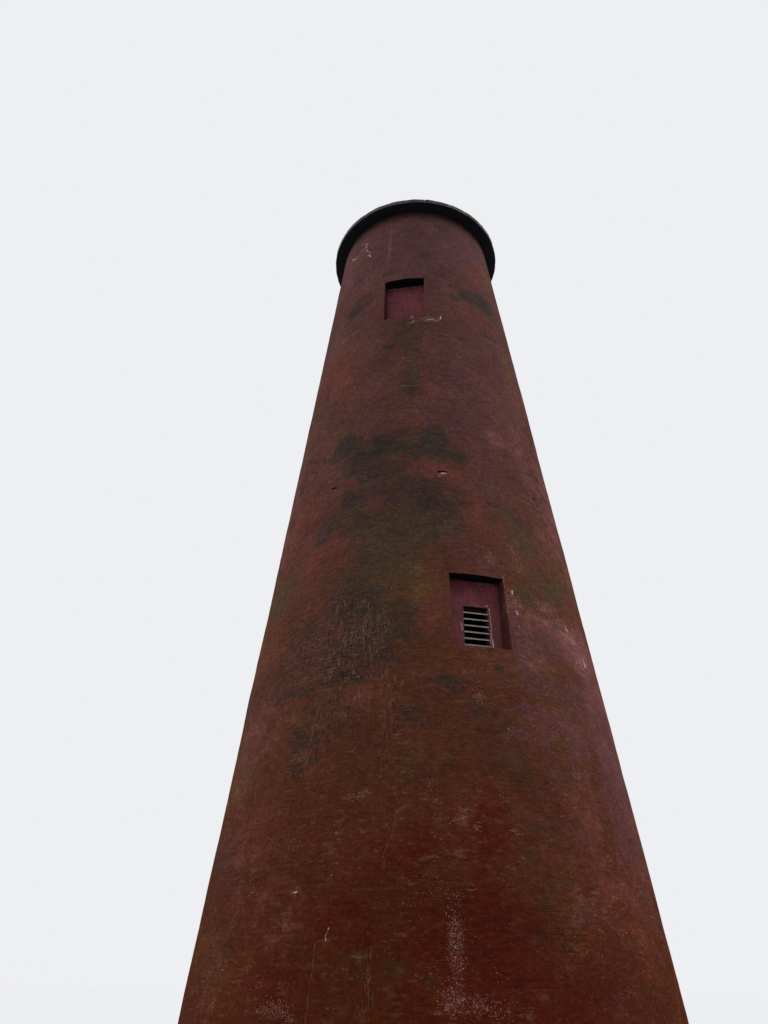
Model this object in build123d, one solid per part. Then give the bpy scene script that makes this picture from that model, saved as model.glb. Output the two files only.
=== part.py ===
from build123d import *
import math
import os

# Battered round lighthouse tower of brick, its lantern gone, in millimetres with the ground at z = 0.
# Azimuths are degrees from the front, -Y, towards the right, +X. Heights are above the ground.

# Tower wall, a straight batter outside and inside
wall_height = 19800
base_radius = 4420
top_radius = 2048
base_thickness = 1524
top_thickness = 610

# Storeys: the wall is built in lifts that end at a ledge of corbelled brick, which carries a floor
middle_floor_level = 5472
upper_floor_level = 14184
ledge_width = 150
ledge_height = 225
segments_per_lift = 6

# Floors
ground_floor_thickness = 150
joist_width = 150
joist_depth = 225
middle_joist_count = 6
upper_joist_count = 4
board_thickness = 50
board_gap = 12
hatch_length = 1000

# Window openings, flat headed with parallel jambs, blocked with a rendered panel
lower_window_azimuth = 17.1
lower_window_sill = 6624
lower_window_height = 1460
lower_window_width = 1055
upper_window_azimuth = -6.9
upper_window_sill = 15372
upper_window_height = 1468
upper_window_width = 985
panel_thickness = 215
panel_setback = 280
back_turn = 180

# Louvred vent that stands on the sill of the lower front window
vent_width = 510
vent_offset = 45
vent_height = 955
vent_depth = 90
vent_frame_thickness = 15
vent_flange_width = 14
vent_flange_thickness = 4
blade_pitch = 125
blade_sheet = 3
blade_lip = 20
blade_run = 62
blade_slope = 30

# Doorway on the hidden side, with a plank door
door_azimuth = 180
doorway_width = 1060
doorway_height = 2160
door_setback = 260
door_frame_width = 90
door_frame_depth = 140
door_leaf_thickness = 45
door_clearance = 4
ledger_width = 150
ledger_thickness = 30
ledger_end_gap = 60
doorstep_thickness = 170
strap_width = 55
strap_thickness = 8
strap_reach = 0.72
strap_from_edge = 300
pintle_radius = 16
pintle_height = 110

# Crown: a brick vault under a deck of thin stone slabs that oversails the wall
deck_radius = 2362
deck_thickness = 131
deck_stone_count = 8
deck_first_joint = -38
vault_rise = 700
vault_crown_thickness = 300

# Scuttle through vault and deck, where the way to the lantern was
scuttle_azimuth = 177
scuttle_distance = 960
scuttle_size = 610
curb_width = 60
curb_height = 110
cover_thickness = 40
cover_lip_height = 45
cover_lip_thickness = 8

parts = {}


def outer_radius(z):
    """Radius of the wall's outer face at a height."""
    return base_radius + (top_radius - base_radius) * z / wall_height


def inner_radius(z):
    """Radius of the wall's inner face at a height."""
    base_inner = base_radius - base_thickness
    top_inner = top_radius - top_thickness
    return base_inner + (top_inner - base_inner) * z / wall_height


def block(x_low, x_high, y_low, y_high, z_low, z_high):
    """Box between two corners."""
    middle = Pos((x_low + x_high) / 2, (y_low + y_high) / 2, (z_low + z_high) / 2)
    return middle * Box(x_high - x_low, y_high - y_low, z_high - z_low)


def facing(shape, azimuth):
    """Turns a piece that is modelled at the front to its own azimuth."""
    return shape.rotate(Axis.Z, azimuth)


def wall_segment(low, high, carries_floor, start, arc):
    """Segment of one lift of the wall, from azimuth start through arc degrees."""
    corners = [(inner_radius(low), low), (outer_radius(low), low), (outer_radius(high), high)]
    if carries_floor:
        tip = inner_radius(high) - ledge_width
        spring = high - ledge_height - ledge_width
        corners += [(tip, high), (tip, high - ledge_height), (inner_radius(spring), spring)]
    else:
        corners += [(inner_radius(high), high)]
    section = Plane.XZ * make_face(Polyline(*corners, close=True))
    return revolve(section, Axis.Z, revolution_arc=arc).rotate(Axis.Z, start - 90)


def through_wall(width, low, high):
    """Block that cuts an opening with parallel jambs through the front of the wall."""
    reach = outer_radius(low) + ledge_width
    return block(-width / 2, width / 2, -reach, -top_radius / 2, low, high)


def lift_with_windows(name, low, high, carries_floor, azimuth, width, sill, height):
    """Lift whose first segment is pierced by the front window and the opposite one by its twin."""
    arc = 360 / segments_per_lift
    for index in range(segments_per_lift):
        start = azimuth + arc * (index - 0.5)
        segment = wall_segment(low, high, carries_floor, start, arc)
        for turn in (0, back_turn):
            opening = through_wall(width, sill, sill + height)
            segment = segment - facing(opening, azimuth + turn)
        parts[f"{name}_wall_{index + 1}"] = segment


def lift_with_doorway(low, high):
    """Ground lift, split beside and over the doorway."""
    arc = 360 / segments_per_lift
    for index in range(1, segments_per_lift):
        start = door_azimuth + arc * (index - 0.5)
        parts[f"ground_wall_{index}"] = wall_segment(low, high, True, start, arc)
    pierced = wall_segment(low, high, True, -arc / 2, arc)
    column = through_wall(doorway_width, low, high)
    beside = (pierced - column).solids().sort_by(Axis.X)
    over = pierced & column & through_wall(doorway_width, doorway_height, high)
    parts["wall_left_of_door"] = facing(beside[0], door_azimuth)
    parts["wall_right_of_door"] = facing(beside[-1], door_azimuth)
    parts["wall_over_door"] = facing(over, door_azimuth)


def ground_floor():
    """Brick-paved floor inside the wall, with its tongue through the doorway up to the doorstep."""
    paving = Cone(inner_radius(0), inner_radius(ground_floor_thickness), ground_floor_thickness)
    paving = Pos(0, 0, ground_floor_thickness / 2) * paving
    tongue_end = door_plane() - door_frame_depth
    tongue = block(-doorway_width / 2, doorway_width / 2, -tongue_end, 0, 0, ground_floor_thickness)
    parts["ground_floor"] = paving + facing(tongue, door_azimuth)


def storey_floor(name, level, joist_count):
    """Timber floor on a ledge: an even number of heavy joists, boarded over, with a stair hatch."""
    joist_top = level + joist_depth
    joist_circle = inner_radius(joist_top) - board_gap
    joist_spacing = 2 * joist_circle / joist_count
    side = joist_width / 2
    joists = []
    for row in range(joist_count):
        centre = (row + 0.5) * joist_spacing - joist_circle
        half_length = math.sqrt(joist_circle**2 - (abs(centre) + side) ** 2)
        joist = block(centre - side, centre + side, -half_length, half_length, level, joist_top)
        joists.append(joist)
    parts[f"{name}_floor_joists"] = Compound(children=joists)
    board_circle = inner_radius(joist_top + board_thickness) - board_gap
    boards = Pos(0, 0, joist_top + board_thickness / 2) * Cylinder(board_circle, board_thickness)
    hatch_low = 0.5 * joist_spacing + side
    hatch_high = 1.5 * joist_spacing - side
    half = hatch_length / 2
    hatch = block(hatch_low, hatch_high, -half, half, joist_top, joist_top + board_thickness)
    parts[f"{name}_floor_boards"] = boards - hatch


def panel_plane(sill, height):
    """Distance of a window panel's face from the axis, set back from the wall at the head."""
    return outer_radius(sill + height) - panel_setback


def window_panel(width, sill, height):
    """Rendered brick panel that blocks a window, upright in the battered wall."""
    face = panel_plane(sill, height)
    return block(-width / 2, width / 2, -face, panel_thickness - face, sill, sill + height)


def vent(face):
    """Frame and blades of the louvred vent, its flange on the panel's face."""
    half = vent_width / 2
    low, high = lower_window_sill, lower_window_sill + vent_height
    inner_half = half - vent_frame_thickness
    inner_low, inner_high = low + vent_frame_thickness, high - vent_frame_thickness
    body = block(-half, half, -face, vent_depth - face, low, high)
    flange_half = half + vent_flange_width
    flange_front = face + vent_flange_thickness
    flange = block(-flange_half, flange_half, -flange_front, -face, low, high + vent_flange_width)
    way_through = block(-inner_half, inner_half, -flange_front, vent_depth - face, inner_low, inner_high)
    frame = body + flange - way_through
    rise = blade_run * math.tan(math.radians(blade_slope))
    section = [
        (0, 0), (blade_sheet, 0), (blade_sheet, blade_lip - blade_sheet),
        (blade_run, blade_lip - blade_sheet + rise), (blade_run, blade_lip + rise), (0, blade_lip),
    ]
    outline = Plane.YZ * make_face(Polyline(*section, close=True))
    blade = extrude(outline, amount=inner_half, both=True)
    blades = []
    foot = inner_high - blade_pitch - blade_lip / 2
    while foot > inner_low:
        blades.append(Pos(0, -face, foot) * blade)
        foot -= blade_pitch
    return frame, Compound(children=blades)


def windows():
    """The blocked windows, and the vent in the lower one at the front."""
    lower = window_panel(lower_window_width, lower_window_sill, lower_window_height)
    upper = window_panel(upper_window_width, upper_window_sill, upper_window_height)
    face = panel_plane(lower_window_sill, lower_window_height)
    half = vent_width / 2
    vent_top = lower_window_sill + vent_height
    notch = block(-half, half, -face, panel_thickness - face, lower_window_sill, vent_top)
    frame, blades = vent(face)
    aside = Pos(vent_offset, 0, 0)
    parts["lower_front_panel"] = facing(lower - aside * notch, lower_window_azimuth)
    parts["vent_frame"] = facing(aside * frame, lower_window_azimuth)
    parts["vent_blades"] = facing(aside * blades, lower_window_azimuth)
    parts["upper_front_panel"] = facing(upper, upper_window_azimuth)
    parts["lower_back_panel"] = facing(lower, lower_window_azimuth + back_turn)
    parts["upper_back_panel"] = facing(upper, upper_window_azimuth + back_turn)


def door_plane():
    """Distance of the door frame's face from the axis, set back from the wall at the head."""
    return outer_radius(doorway_height) - door_setback


def door():
    """Doorstep, frame, ledged plank door and its strap hinges on pintles."""
    half = doorway_width / 2
    face = door_plane()
    back = face - door_frame_depth
    step = block(-half, half, -outer_radius(0), -back, 0, doorstep_thickness)
    frame = block(-half, half, -face, -back, doorstep_thickness, doorway_height)
    inner_half = half - door_frame_width
    head = doorway_height - door_frame_width
    frame = frame - block(-inner_half, inner_half, -face, -back, doorstep_thickness, head)
    leaf_half = inner_half - door_clearance
    leaf_low, leaf_high = doorstep_thickness + door_clearance, head - door_clearance
    leaf_back = face - door_leaf_thickness
    leaf = block(-leaf_half, leaf_half, -face, -leaf_back, leaf_low, leaf_high)
    strap_heights = (leaf_low + strap_from_edge, leaf_high - strap_from_edge)
    straps = []
    for height in strap_heights:
        low, high = height - ledger_width / 2, height + ledger_width / 2
        end = leaf_half - ledger_end_gap
        leaf += block(-end, end, -leaf_back, ledger_thickness - leaf_back, low, high)
        strap_front = face + strap_thickness
        strap_end = strap_reach * 2 * leaf_half - leaf_half
        low, high = height - strap_width / 2, height + strap_width / 2
        strap = block(-inner_half, strap_end, -strap_front, -face, low, high)
        strap += Pos(strap_end, -face - strap_thickness / 2, height) * (
            Rotation(90, 0, 0) * Cylinder(strap_width / 2, strap_thickness)
        )
        knuckle = Pos(-inner_half - pintle_radius, -face - pintle_radius, height)
        strap += knuckle * Cylinder(pintle_radius, pintle_height)
        strap += block(-inner_half - pintle_radius, -inner_half, -strap_front, -face, low, high)
        straps.append(strap)
    parts["doorstep"] = facing(step, door_azimuth)
    parts["door_frame"] = facing(frame, door_azimuth)
    parts["door_leaf"] = facing(leaf, door_azimuth)
    parts["door_hinges"] = facing(Compound(children=straps), door_azimuth)


def scuttle_block(grow, low, high):
    """Upright block over the scuttle, grown on every side."""
    half = scuttle_size / 2 + grow
    return facing(
        block(-half, half, -scuttle_distance - half, half - scuttle_distance, low, high),
        scuttle_azimuth,
    )


def crown():
    """Vault on the wall's inner face, deck stones over vault and wall, and the scuttle."""
    crown_level = wall_height - vault_crown_thickness
    spring_level = crown_level - vault_rise
    spring_radius = inner_radius(spring_level)
    sphere_radius = (spring_radius**2 + vault_rise**2) / (2 * vault_rise)
    mid_radius = spring_radius / 2
    mid_level = crown_level - sphere_radius + math.sqrt(sphere_radius**2 - mid_radius**2)
    soffit = ThreePointArc((0, crown_level), (mid_radius, mid_level), (spring_radius, spring_level))
    top = [(inner_radius(wall_height), wall_height), (0, wall_height), (0, crown_level)]
    rim = Polyline((spring_radius, spring_level), *top)
    section = Plane.XZ * make_face([soffit, rim])
    vault = revolve(section, Axis.Z)
    parts["crown_vault"] = vault - scuttle_block(0, spring_level, wall_height)
    deck_top = wall_height + deck_thickness
    arc = 360 / deck_stone_count
    opening = scuttle_block(0, wall_height, deck_top)
    sector = Plane.XZ * make_face(
        Polyline((0, wall_height), (deck_radius, wall_height), (deck_radius, deck_top), (0, deck_top), close=True)
    )
    for index in range(deck_stone_count):
        start = deck_first_joint + arc * index
        stone = revolve(sector, Axis.Z, revolution_arc=arc).rotate(Axis.Z, start - 90)
        parts[f"deck_stone_{index + 1}"] = stone - opening
    curb_top = deck_top + curb_height
    curb = scuttle_block(curb_width, deck_top, curb_top) - scuttle_block(0, deck_top, curb_top)
    cover_grow = curb_width + cover_lip_thickness
    cover = scuttle_block(cover_grow, curb_top - cover_lip_height, curb_top + cover_thickness)
    cover = cover - scuttle_block(curb_width, curb_top - cover_lip_height, curb_top)
    parts["scuttle_curb"] = curb
    parts["scuttle_cover"] = cover


lift_with_doorway(0, middle_floor_level)
lift_with_windows(
    "middle", middle_floor_level, upper_floor_level, True,
    lower_window_azimuth, lower_window_width, lower_window_sill, lower_window_height,
)
lift_with_windows(
    "upper", upper_floor_level, wall_height, False,
    upper_window_azimuth, upper_window_width, upper_window_sill, upper_window_height,
)
ground_floor()
storey_floor("middle", middle_floor_level, middle_joist_count)
storey_floor("upper", upper_floor_level, upper_joist_count)
windows()
door()
crown()

os.makedirs("parts", exist_ok=True)
for name, shape in parts.items():
    export_step(shape, f"parts/{name}.step")
    print(name, len(shape.solids()), round(shape.volume / 1e9, 4))
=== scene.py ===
import math

import bmesh
import bpy
import numpy as np
from mathutils import Matrix, Vector, noise


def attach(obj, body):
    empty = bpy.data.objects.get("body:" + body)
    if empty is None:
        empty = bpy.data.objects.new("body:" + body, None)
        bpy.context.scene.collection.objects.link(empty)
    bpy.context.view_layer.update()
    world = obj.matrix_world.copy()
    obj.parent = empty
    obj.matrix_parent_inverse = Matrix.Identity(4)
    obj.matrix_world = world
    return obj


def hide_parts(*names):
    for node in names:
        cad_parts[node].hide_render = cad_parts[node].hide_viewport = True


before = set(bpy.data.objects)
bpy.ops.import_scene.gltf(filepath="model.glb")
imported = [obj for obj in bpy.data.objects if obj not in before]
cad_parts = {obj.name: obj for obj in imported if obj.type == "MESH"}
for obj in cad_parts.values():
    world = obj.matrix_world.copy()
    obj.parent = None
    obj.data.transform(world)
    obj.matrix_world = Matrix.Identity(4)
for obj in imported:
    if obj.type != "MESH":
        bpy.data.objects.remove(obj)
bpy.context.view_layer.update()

# Doorstep and floor of the ground storey.
# The step is one block of hard grey stone, bedded in the doorway and worn hollow by feet.
# The floor behind it is brick laid flat on earth, with narrow joints.


def put(kind, sockets, tree=None, **settings):
    """Adds a node, as a rule to the tree of its incoming links, and gives the sockets that it puts out."""
    links = {key: value for key, value in sockets.items() if isinstance(value, bpy.types.NodeSocket)}
    tree = tree or next(iter(links.values())).id_data
    node = tree.nodes.new("ShaderNode" + kind)
    for key, value in settings.items():
        setattr(node, key, value)
    for key, value in sockets.items():
        if key in links:
            tree.links.new(value, node.inputs[key])
        else:
            node.inputs[key].default_value = value
    return node.outputs


def calc(operation, first, second=0.0):
    """Math node on one or two numbers."""
    return put("Math", {0: first, 1: second}, operation=operation)[0]


def times(first, second):
    """Product of two numbers."""
    return calc("MULTIPLY", first, second)


def plus(first, second):
    """Sum of two numbers."""
    return calc("ADD", first, second)


def less(first, second):
    """First number less the second."""
    return calc("SUBTRACT", first, second)


def most(first, second):
    """Larger of two numbers."""
    return calc("MAXIMUM", first, second)


def vector(operation, first, second):
    """Math node on two places, directions or colours. Gives all that it puts out."""
    return put("VectorMath", {0: first, 1: second}, operation=operation)


def scaled(place, factor):
    """A place, direction or colour times a number."""
    return put("VectorMath", {0: place, 3: factor}, operation="SCALE")[0]


def ramp(value, low, high, start=0.0, end=1.0):
    """Smooth step of a value from start, at low, to end, at high."""
    sockets = {"Value": value, "From Min": low, "From Max": high, "To Min": start, "To Max": end}
    return put("MapRange", sockets, interpolation_type="SMOOTHSTEP")[0]


def blend(factor, first, second, mode="MIX"):
    """Mixes two colours."""
    sockets = {0: factor, 6: first, 7: second}
    return put("Mix", sockets, data_type="RGBA", blend_type=mode)[2]


def cloud(place, scale, detail, stretch=None, roughness=0.5):
    """Noise with the given number of patches in a metre, or stretched along the axes."""
    if stretch:
        place = vector("MULTIPLY", place, stretch)[0]
    sockets = {"Vector": place, "Scale": scale, "Detail": detail, "Roughness": roughness}
    return put("TexNoise", sockets)[0]


def srgb(*chip):
    """Linear colour of a paint chip given as red, green and blue from 0 to 255."""
    linear = [((part / 255 + 0.055) / 1.055) ** 2.4 if part > 10 else part / 3295 for part in chip]
    return (*linear, 1.0)


def shader_group(name, inputs, outputs):
    """Empty node group. Gives the group, its incoming sockets and the ones it puts out."""
    group = bpy.data.node_groups.new(name, "ShaderNodeTree")
    for side, sockets in (("INPUT", inputs), ("OUTPUT", outputs)):
        for label, kind in sockets.items():
            group.interface.new_socket(name=label, in_out=side, socket_type="NodeSocket" + kind)
    return group, group.nodes.new("NodeGroupInput").outputs, group.nodes.new("NodeGroupOutput").inputs


def use(group, **sockets):
    """Places a node group."""
    return put("Group", sockets, node_tree=group)


def new_finish(name, roughness):
    """Material with a plain shader. Gives the material, its shader and the place in metres."""
    material = bpy.data.materials.new(name)
    material.use_nodes = True
    shader = material.node_tree.nodes["Principled BSDF"]
    shader.inputs["Roughness"].default_value = roughness
    return material, shader, put("TexCoord", {}, material.node_tree)["Object"]


def feed(shader, color, height, depth, **others):
    """Links a shader to its colour, to a bump, and to other values by name.

    The bump's height of 0 to 1 stands for a real depth in metres.
    """
    bump = put("Bump", {"Strength": 1.0, "Distance": depth, "Height": height})[0]
    for socket, value in {"Base Color": color, "Normal": bump, **others}.items():
        shader.id_data.links.new(value, shader.inputs[socket])


def shaken(place, scale, detail, far):
    """Places moved about by noise, by up to about half of far, in metres."""
    sockets = {"Vector": place, "Scale": scale, "Detail": detail}
    push = put("TexNoise", sockets)["Color"]
    push = scaled(vector("SUBTRACT", push, (0.5, 0.5, 0.5))[0], far)
    return vector("ADD", place, push)[0]


def weathering_group():
    """Uneven tone of an old surface: broad clouds, hand-sized blotches and fine grain."""
    group, given, made = shader_group(
        "weathering",
        {"Place": "Vector", "Color": "Color", "Scale": "Float", "Contrast": "Float"},
        {"Color": "Color", "Height": "Float"},
    )
    place = scaled(given["Place"], given["Scale"])
    broad = cloud(place, 0.9, 2)
    blotch = cloud(place, 6.0, 4)
    grain = cloud(place, 60.0, 3)
    tone = plus(times(broad, 0.8), times(blotch, 0.8))
    tone = plus(tone, times(grain, 0.4))
    tone = times(less(tone, 1.0), times(given["Contrast"], 4.0))
    tone = plus(tone, 1.0)
    group.links.new(scaled(given["Color"], tone), made["Color"])
    rough = plus(times(blotch, 0.5), times(grain, 0.5))
    group.links.new(rough, made["Height"])
    return group


def growth_group():
    """Patch of algae, lichen, soot or lost wash: a soft mask whose edge is broken up by noise."""
    group, given, made = shader_group(
        "growth",
        {"Place": "Vector", "Mask": "Float", "Scale": "Float", "Softness": "Float"},
        {"Mask": "Float"},
    )
    flat = vector("MULTIPLY", given["Place"], (1.0, 1.0, 1.6))[0]
    edge = cloud(flat, given["Scale"], 8.0, None, 0.68)
    pushed = times(less(edge, 0.5), 2.6)
    value = plus(given["Mask"], pushed)
    low = less(0.55, given["Softness"])
    high = plus(0.55, given["Softness"])
    group.links.new(ramp(value, low, high), made["Mask"])
    return group


def bond_group():
    """Running bond of bricks, each a little off its place.

    Joint is 1 in the mortar, and Tone differs from brick to brick.
    """
    group, given, made = shader_group(
        "brick_bond",
        {"Along": "Float", "Up": "Float", "Length": "Float", "Course": "Float", "Joint": "Float"},
        {"Joint": "Float", "Tone": "Float"},
    )
    flat = put("CombineXYZ", {0: given["Along"], 1: given["Up"]})[0]
    drift = times(less(cloud(flat, 9.0, 2), 0.5), 0.014)
    level = calc("DIVIDE", plus(given["Up"], drift), given["Course"])
    row = calc("FLOOR", level)
    shift = put("TexWhiteNoise", {"W": row}, noise_dimensions="1D")[0]
    shift = plus(times(shift, 0.24), times(row, 0.5))
    across = calc("DIVIDE", plus(given["Along"], drift), given["Length"])
    across = plus(across, shift)
    column = calc("FLOOR", across)
    bed = times(calc("PINGPONG", level, 0.5), given["Course"])
    perpend = times(calc("PINGPONG", across, 0.5), given["Length"])
    nearest = calc("MINIMUM", bed, perpend)
    filled, clear = times(given["Joint"], 0.3), times(given["Joint"], 0.8)
    group.links.new(ramp(nearest, filled, clear, 1.0, 0.0), made["Joint"])
    cell = put("CombineXYZ", {0: column, 1: row})[0]
    tone = put("TexWhiteNoise", {"Vector": cell}, noise_dimensions="2D")[0]
    group.links.new(tone, made["Tone"])
    return group


def specks_group():
    """Scattered crisp specks.

    Density is the share of places that have one, and Size its largest radius in metres.
    """
    group, given, made = shader_group(
        "specks",
        {"Place": "Vector", "Density": "Float", "Scale": "Float", "Size": "Float"},
        {"Mask": "Float"},
    )
    spot = shaken(given["Place"], 55.0, 2.0, 0.022)
    cell = put("TexVoronoi", {"Vector": spot, "Scale": given["Scale"]})
    chance = put("SeparateColor", {0: cell["Color"]})
    present = calc("LESS_THAN", chance[0], given["Density"])
    away = calc("DIVIDE", cell["Distance"], given["Scale"])
    size = times(given["Size"], ramp(chance[1], 0.0, 1.0, 0.35, 1.0))
    spread = ramp(calc("DIVIDE", away, size), 0.6, 1.0, 1.0, 0.0)
    group.links.new(times(present, spread), made["Mask"])
    return group


weathering = weathering_group()
growth = growth_group()
bond = bond_group()
specks = specks_group()


def patches(place, mask, scale, softness):
    """Ragged patches, which cover more where the given mask is higher."""
    return use(growth, Place=place, Mask=mask, Scale=scale, Softness=softness)["Mask"]


def stone_finish(name, pale, dark, lichen, cover):
    """Grey stone, blotched dark where water lies and with lichen on it."""
    material, shader, place = new_finish(name, 0.88)
    body = use(weathering, Place=place, Color=pale, Scale=1.6, Contrast=0.4)
    damp = patches(place, 0.45, 2.5, 0.3)
    color = blend(damp, body["Color"], dark)
    spots = patches(place, cover, 14.0, 0.08)
    color = blend(spots, color, lichen)
    feed(shader, color, plus(body["Height"], times(spots, 0.4)), 0.006)
    return material


def piece_points(piece):
    """Points of a piece, in metres."""
    points = np.empty(len(piece.data.vertices) * 3, np.float32)
    piece.data.vertices.foreach_get("co", points)
    return points.reshape(-1, 3).astype(float)


def node_points(name):
    """Points of a CAD node, in metres."""
    return piece_points(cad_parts[name])


def turned(points, azimuth):
    """Points that are modelled at the front, -Y, turned to an azimuth counted towards +X."""
    angle = math.radians(azimuth)
    cos, sin = math.cos(angle), math.sin(angle)
    return points @ np.array([[cos, sin, 0], [-sin, cos, 0], [0, 0, 1]])


def facing(name, azimuth=None):
    """Azimuth that a CAD node faces, unless given, and its two corners when it is turned to the front."""
    points = node_points(name)
    if azimuth is None:
        azimuth = math.degrees(math.atan2(points[:, 0].mean(), -points[:, 1].mean()))
    points = turned(points, -azimuth)
    return azimuth, points.min(0), points.max(0)


def grid_block(low, high, cell, edge):
    """Closed block between two corners as points and faces, gridded about cell apart, edges rounded."""
    low, high = np.array(low, float), np.array(high, float)
    cells = np.broadcast_to(cell, 3)
    lines = []
    for start, end, step in zip(low, high, cells):
        count = max(1, round((end - start - 2 * edge) / step))
        middle = np.linspace(start + edge, end - edge, count + 1)
        lines.append(np.concatenate([[start, start + 0.3 * edge], middle, [end - 0.3 * edge, end]]))
    points, index, faces = [], {}, []

    def corner(*key):
        if key not in index:
            index[key] = len(points)
            points.append([lines[axis][key[axis]] for axis in range(3)])
        return index[key]

    for axis in range(3):
        one, two = (axis + 1) % 3, (axis + 2) % 3
        for last in (False, True):
            key = [0, 0, 0]
            key[axis] = len(lines[axis]) - 1 if last else 0
            for i in range(len(lines[one]) - 1):
                for j in range(len(lines[two]) - 1):
                    ring = []
                    for a, b in ((0, 0), (1, 0), (1, 1), (0, 1)):
                        key[one], key[two] = i + a, j + b
                        ring.append(corner(*key))
                    faces.append(ring if last else ring[::-1])
    points = np.array(points)
    core = np.clip(points, low + edge, high - edge)
    offset = points - core
    length = np.linalg.norm(offset, axis=1, keepdims=True)
    points = core + offset / np.maximum(length, 1e-9) * edge
    return points, faces


def worn(points, depth, size, seed):
    """Points pushed about by smooth noise of a given depth and patch size."""
    noise.seed_set(seed)
    pushes = [noise.noise_vector(Vector(point) / size) for point in points]
    return points + np.array(pushes) * depth


def make_piece(name, points, faces, material, replaced=()):
    """Mesh piece that rides on the tower and may stand for CAD nodes."""
    mesh = bpy.data.meshes.new(name)
    mesh.from_pydata(points.tolist(), [], faces)
    mesh.materials.append(material)
    piece = bpy.data.objects.new(name, mesh)
    bpy.context.scene.collection.objects.link(piece)
    smooth(piece)
    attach(piece, "root")
    if replaced:
        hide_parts(*replaced)
    return piece


def smooth(piece):
    """Smooth shading that stops at real edges, where faces meet at more than 38 degrees."""
    piece.data.polygons.foreach_set("use_smooth", [True] * len(piece.data.polygons))
    piece.data.set_sharp_from_angle(angle=math.radians(38))


step_stone = stone_finish("doorstep_stone", srgb(128, 124, 116), srgb(84, 80, 72), srgb(150, 148, 128), 0.12)
step_azimuth, step_low, step_high = facing("doorstep")
step_points, step_faces = grid_block(step_low, step_high, 0.05, 0.012)
half_step = (step_high[0] - step_low[0]) / 2
tread = np.clip(1 - (step_points[:, 0] / half_step) ** 2, 0, 1)
tread *= step_points[:, 2] > (step_low[2] + step_high[2]) / 2
step_points[:, 2] -= 0.016 * tread
step_points = turned(worn(step_points, 0.003, 0.12, 1), step_azimuth)
make_piece("worn_doorstep", step_points, step_faces, step_stone, ["doorstep"])


brick_length = 0.225


def paving_finish():
    """Brick laid flat and trodden smooth, with earth in the joints."""
    material, shader, place = new_finish("floor_paving", 0.85)
    axes = put("SeparateXYZ", {0: place})
    bricks = use(bond, Along=axes[0], Up=axes[1], Length=brick_length, Course=0.112, Joint=0.012)
    color = blend(bricks["Tone"], srgb(126, 72, 54), srgb(96, 62, 52))
    color = use(weathering, Place=place, Color=color, Scale=1.5, Contrast=0.35)
    seen = blend(bricks["Joint"], color["Color"], srgb(74, 64, 54))
    height = less(times(color["Height"], 0.4), bricks["Joint"])
    feed(shader, seen, height, 0.008)
    return material


def dress(name, material, bevel=None):
    """A CAD node that stays gets its material and, where its edges are worn, a small bevel."""
    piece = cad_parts[name]
    piece.data.materials.clear()
    piece.data.materials.append(material)
    if bevel:
        rounding = piece.modifiers.new("worn_edges", "BEVEL")
        rounding.width = bevel
        rounding.segments = 2
        rounding.limit_method = "ANGLE"
        rounding.angle_limit = math.radians(40)


dress("ground_floor", paving_finish())

# Tower wall, built in three lifts that each end at a ledge for a floor.
# Brick in lime mortar, battered inside and out, under many coats of red limewash.
# The wash fills most joints, has scaled off in places, and carries algae and runs of lime.

course = 0.072
bed_joint = 0.016
columns = 248
wall_points = {}
for wall_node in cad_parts:
    if "wall_" in wall_node:
        wall_points[wall_node] = node_points(wall_node)
every_point = np.concatenate(list(wall_points.values()))
every_radius = np.hypot(every_point[:, 0], every_point[:, 1])
wall_height = every_point[:, 2].max()
at_foot = every_radius[every_point[:, 2] < 0.001]
at_head = every_radius[every_point[:, 2] > wall_height - 0.001]
foot_radius, foot_inner = at_foot.max(), at_foot.min()
head_radius, head_inner = at_head.max(), at_head.min()
ledge_width = 0.15
ledge_height = 0.225


def outer_radius(height):
    """Radius of the outer face, without its unevenness."""
    return foot_radius + (head_radius - foot_radius) * height / wall_height


def inner_radius(height):
    """Radius of the inner face."""
    return foot_inner + (head_inner - foot_inner) * height / wall_height


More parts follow.
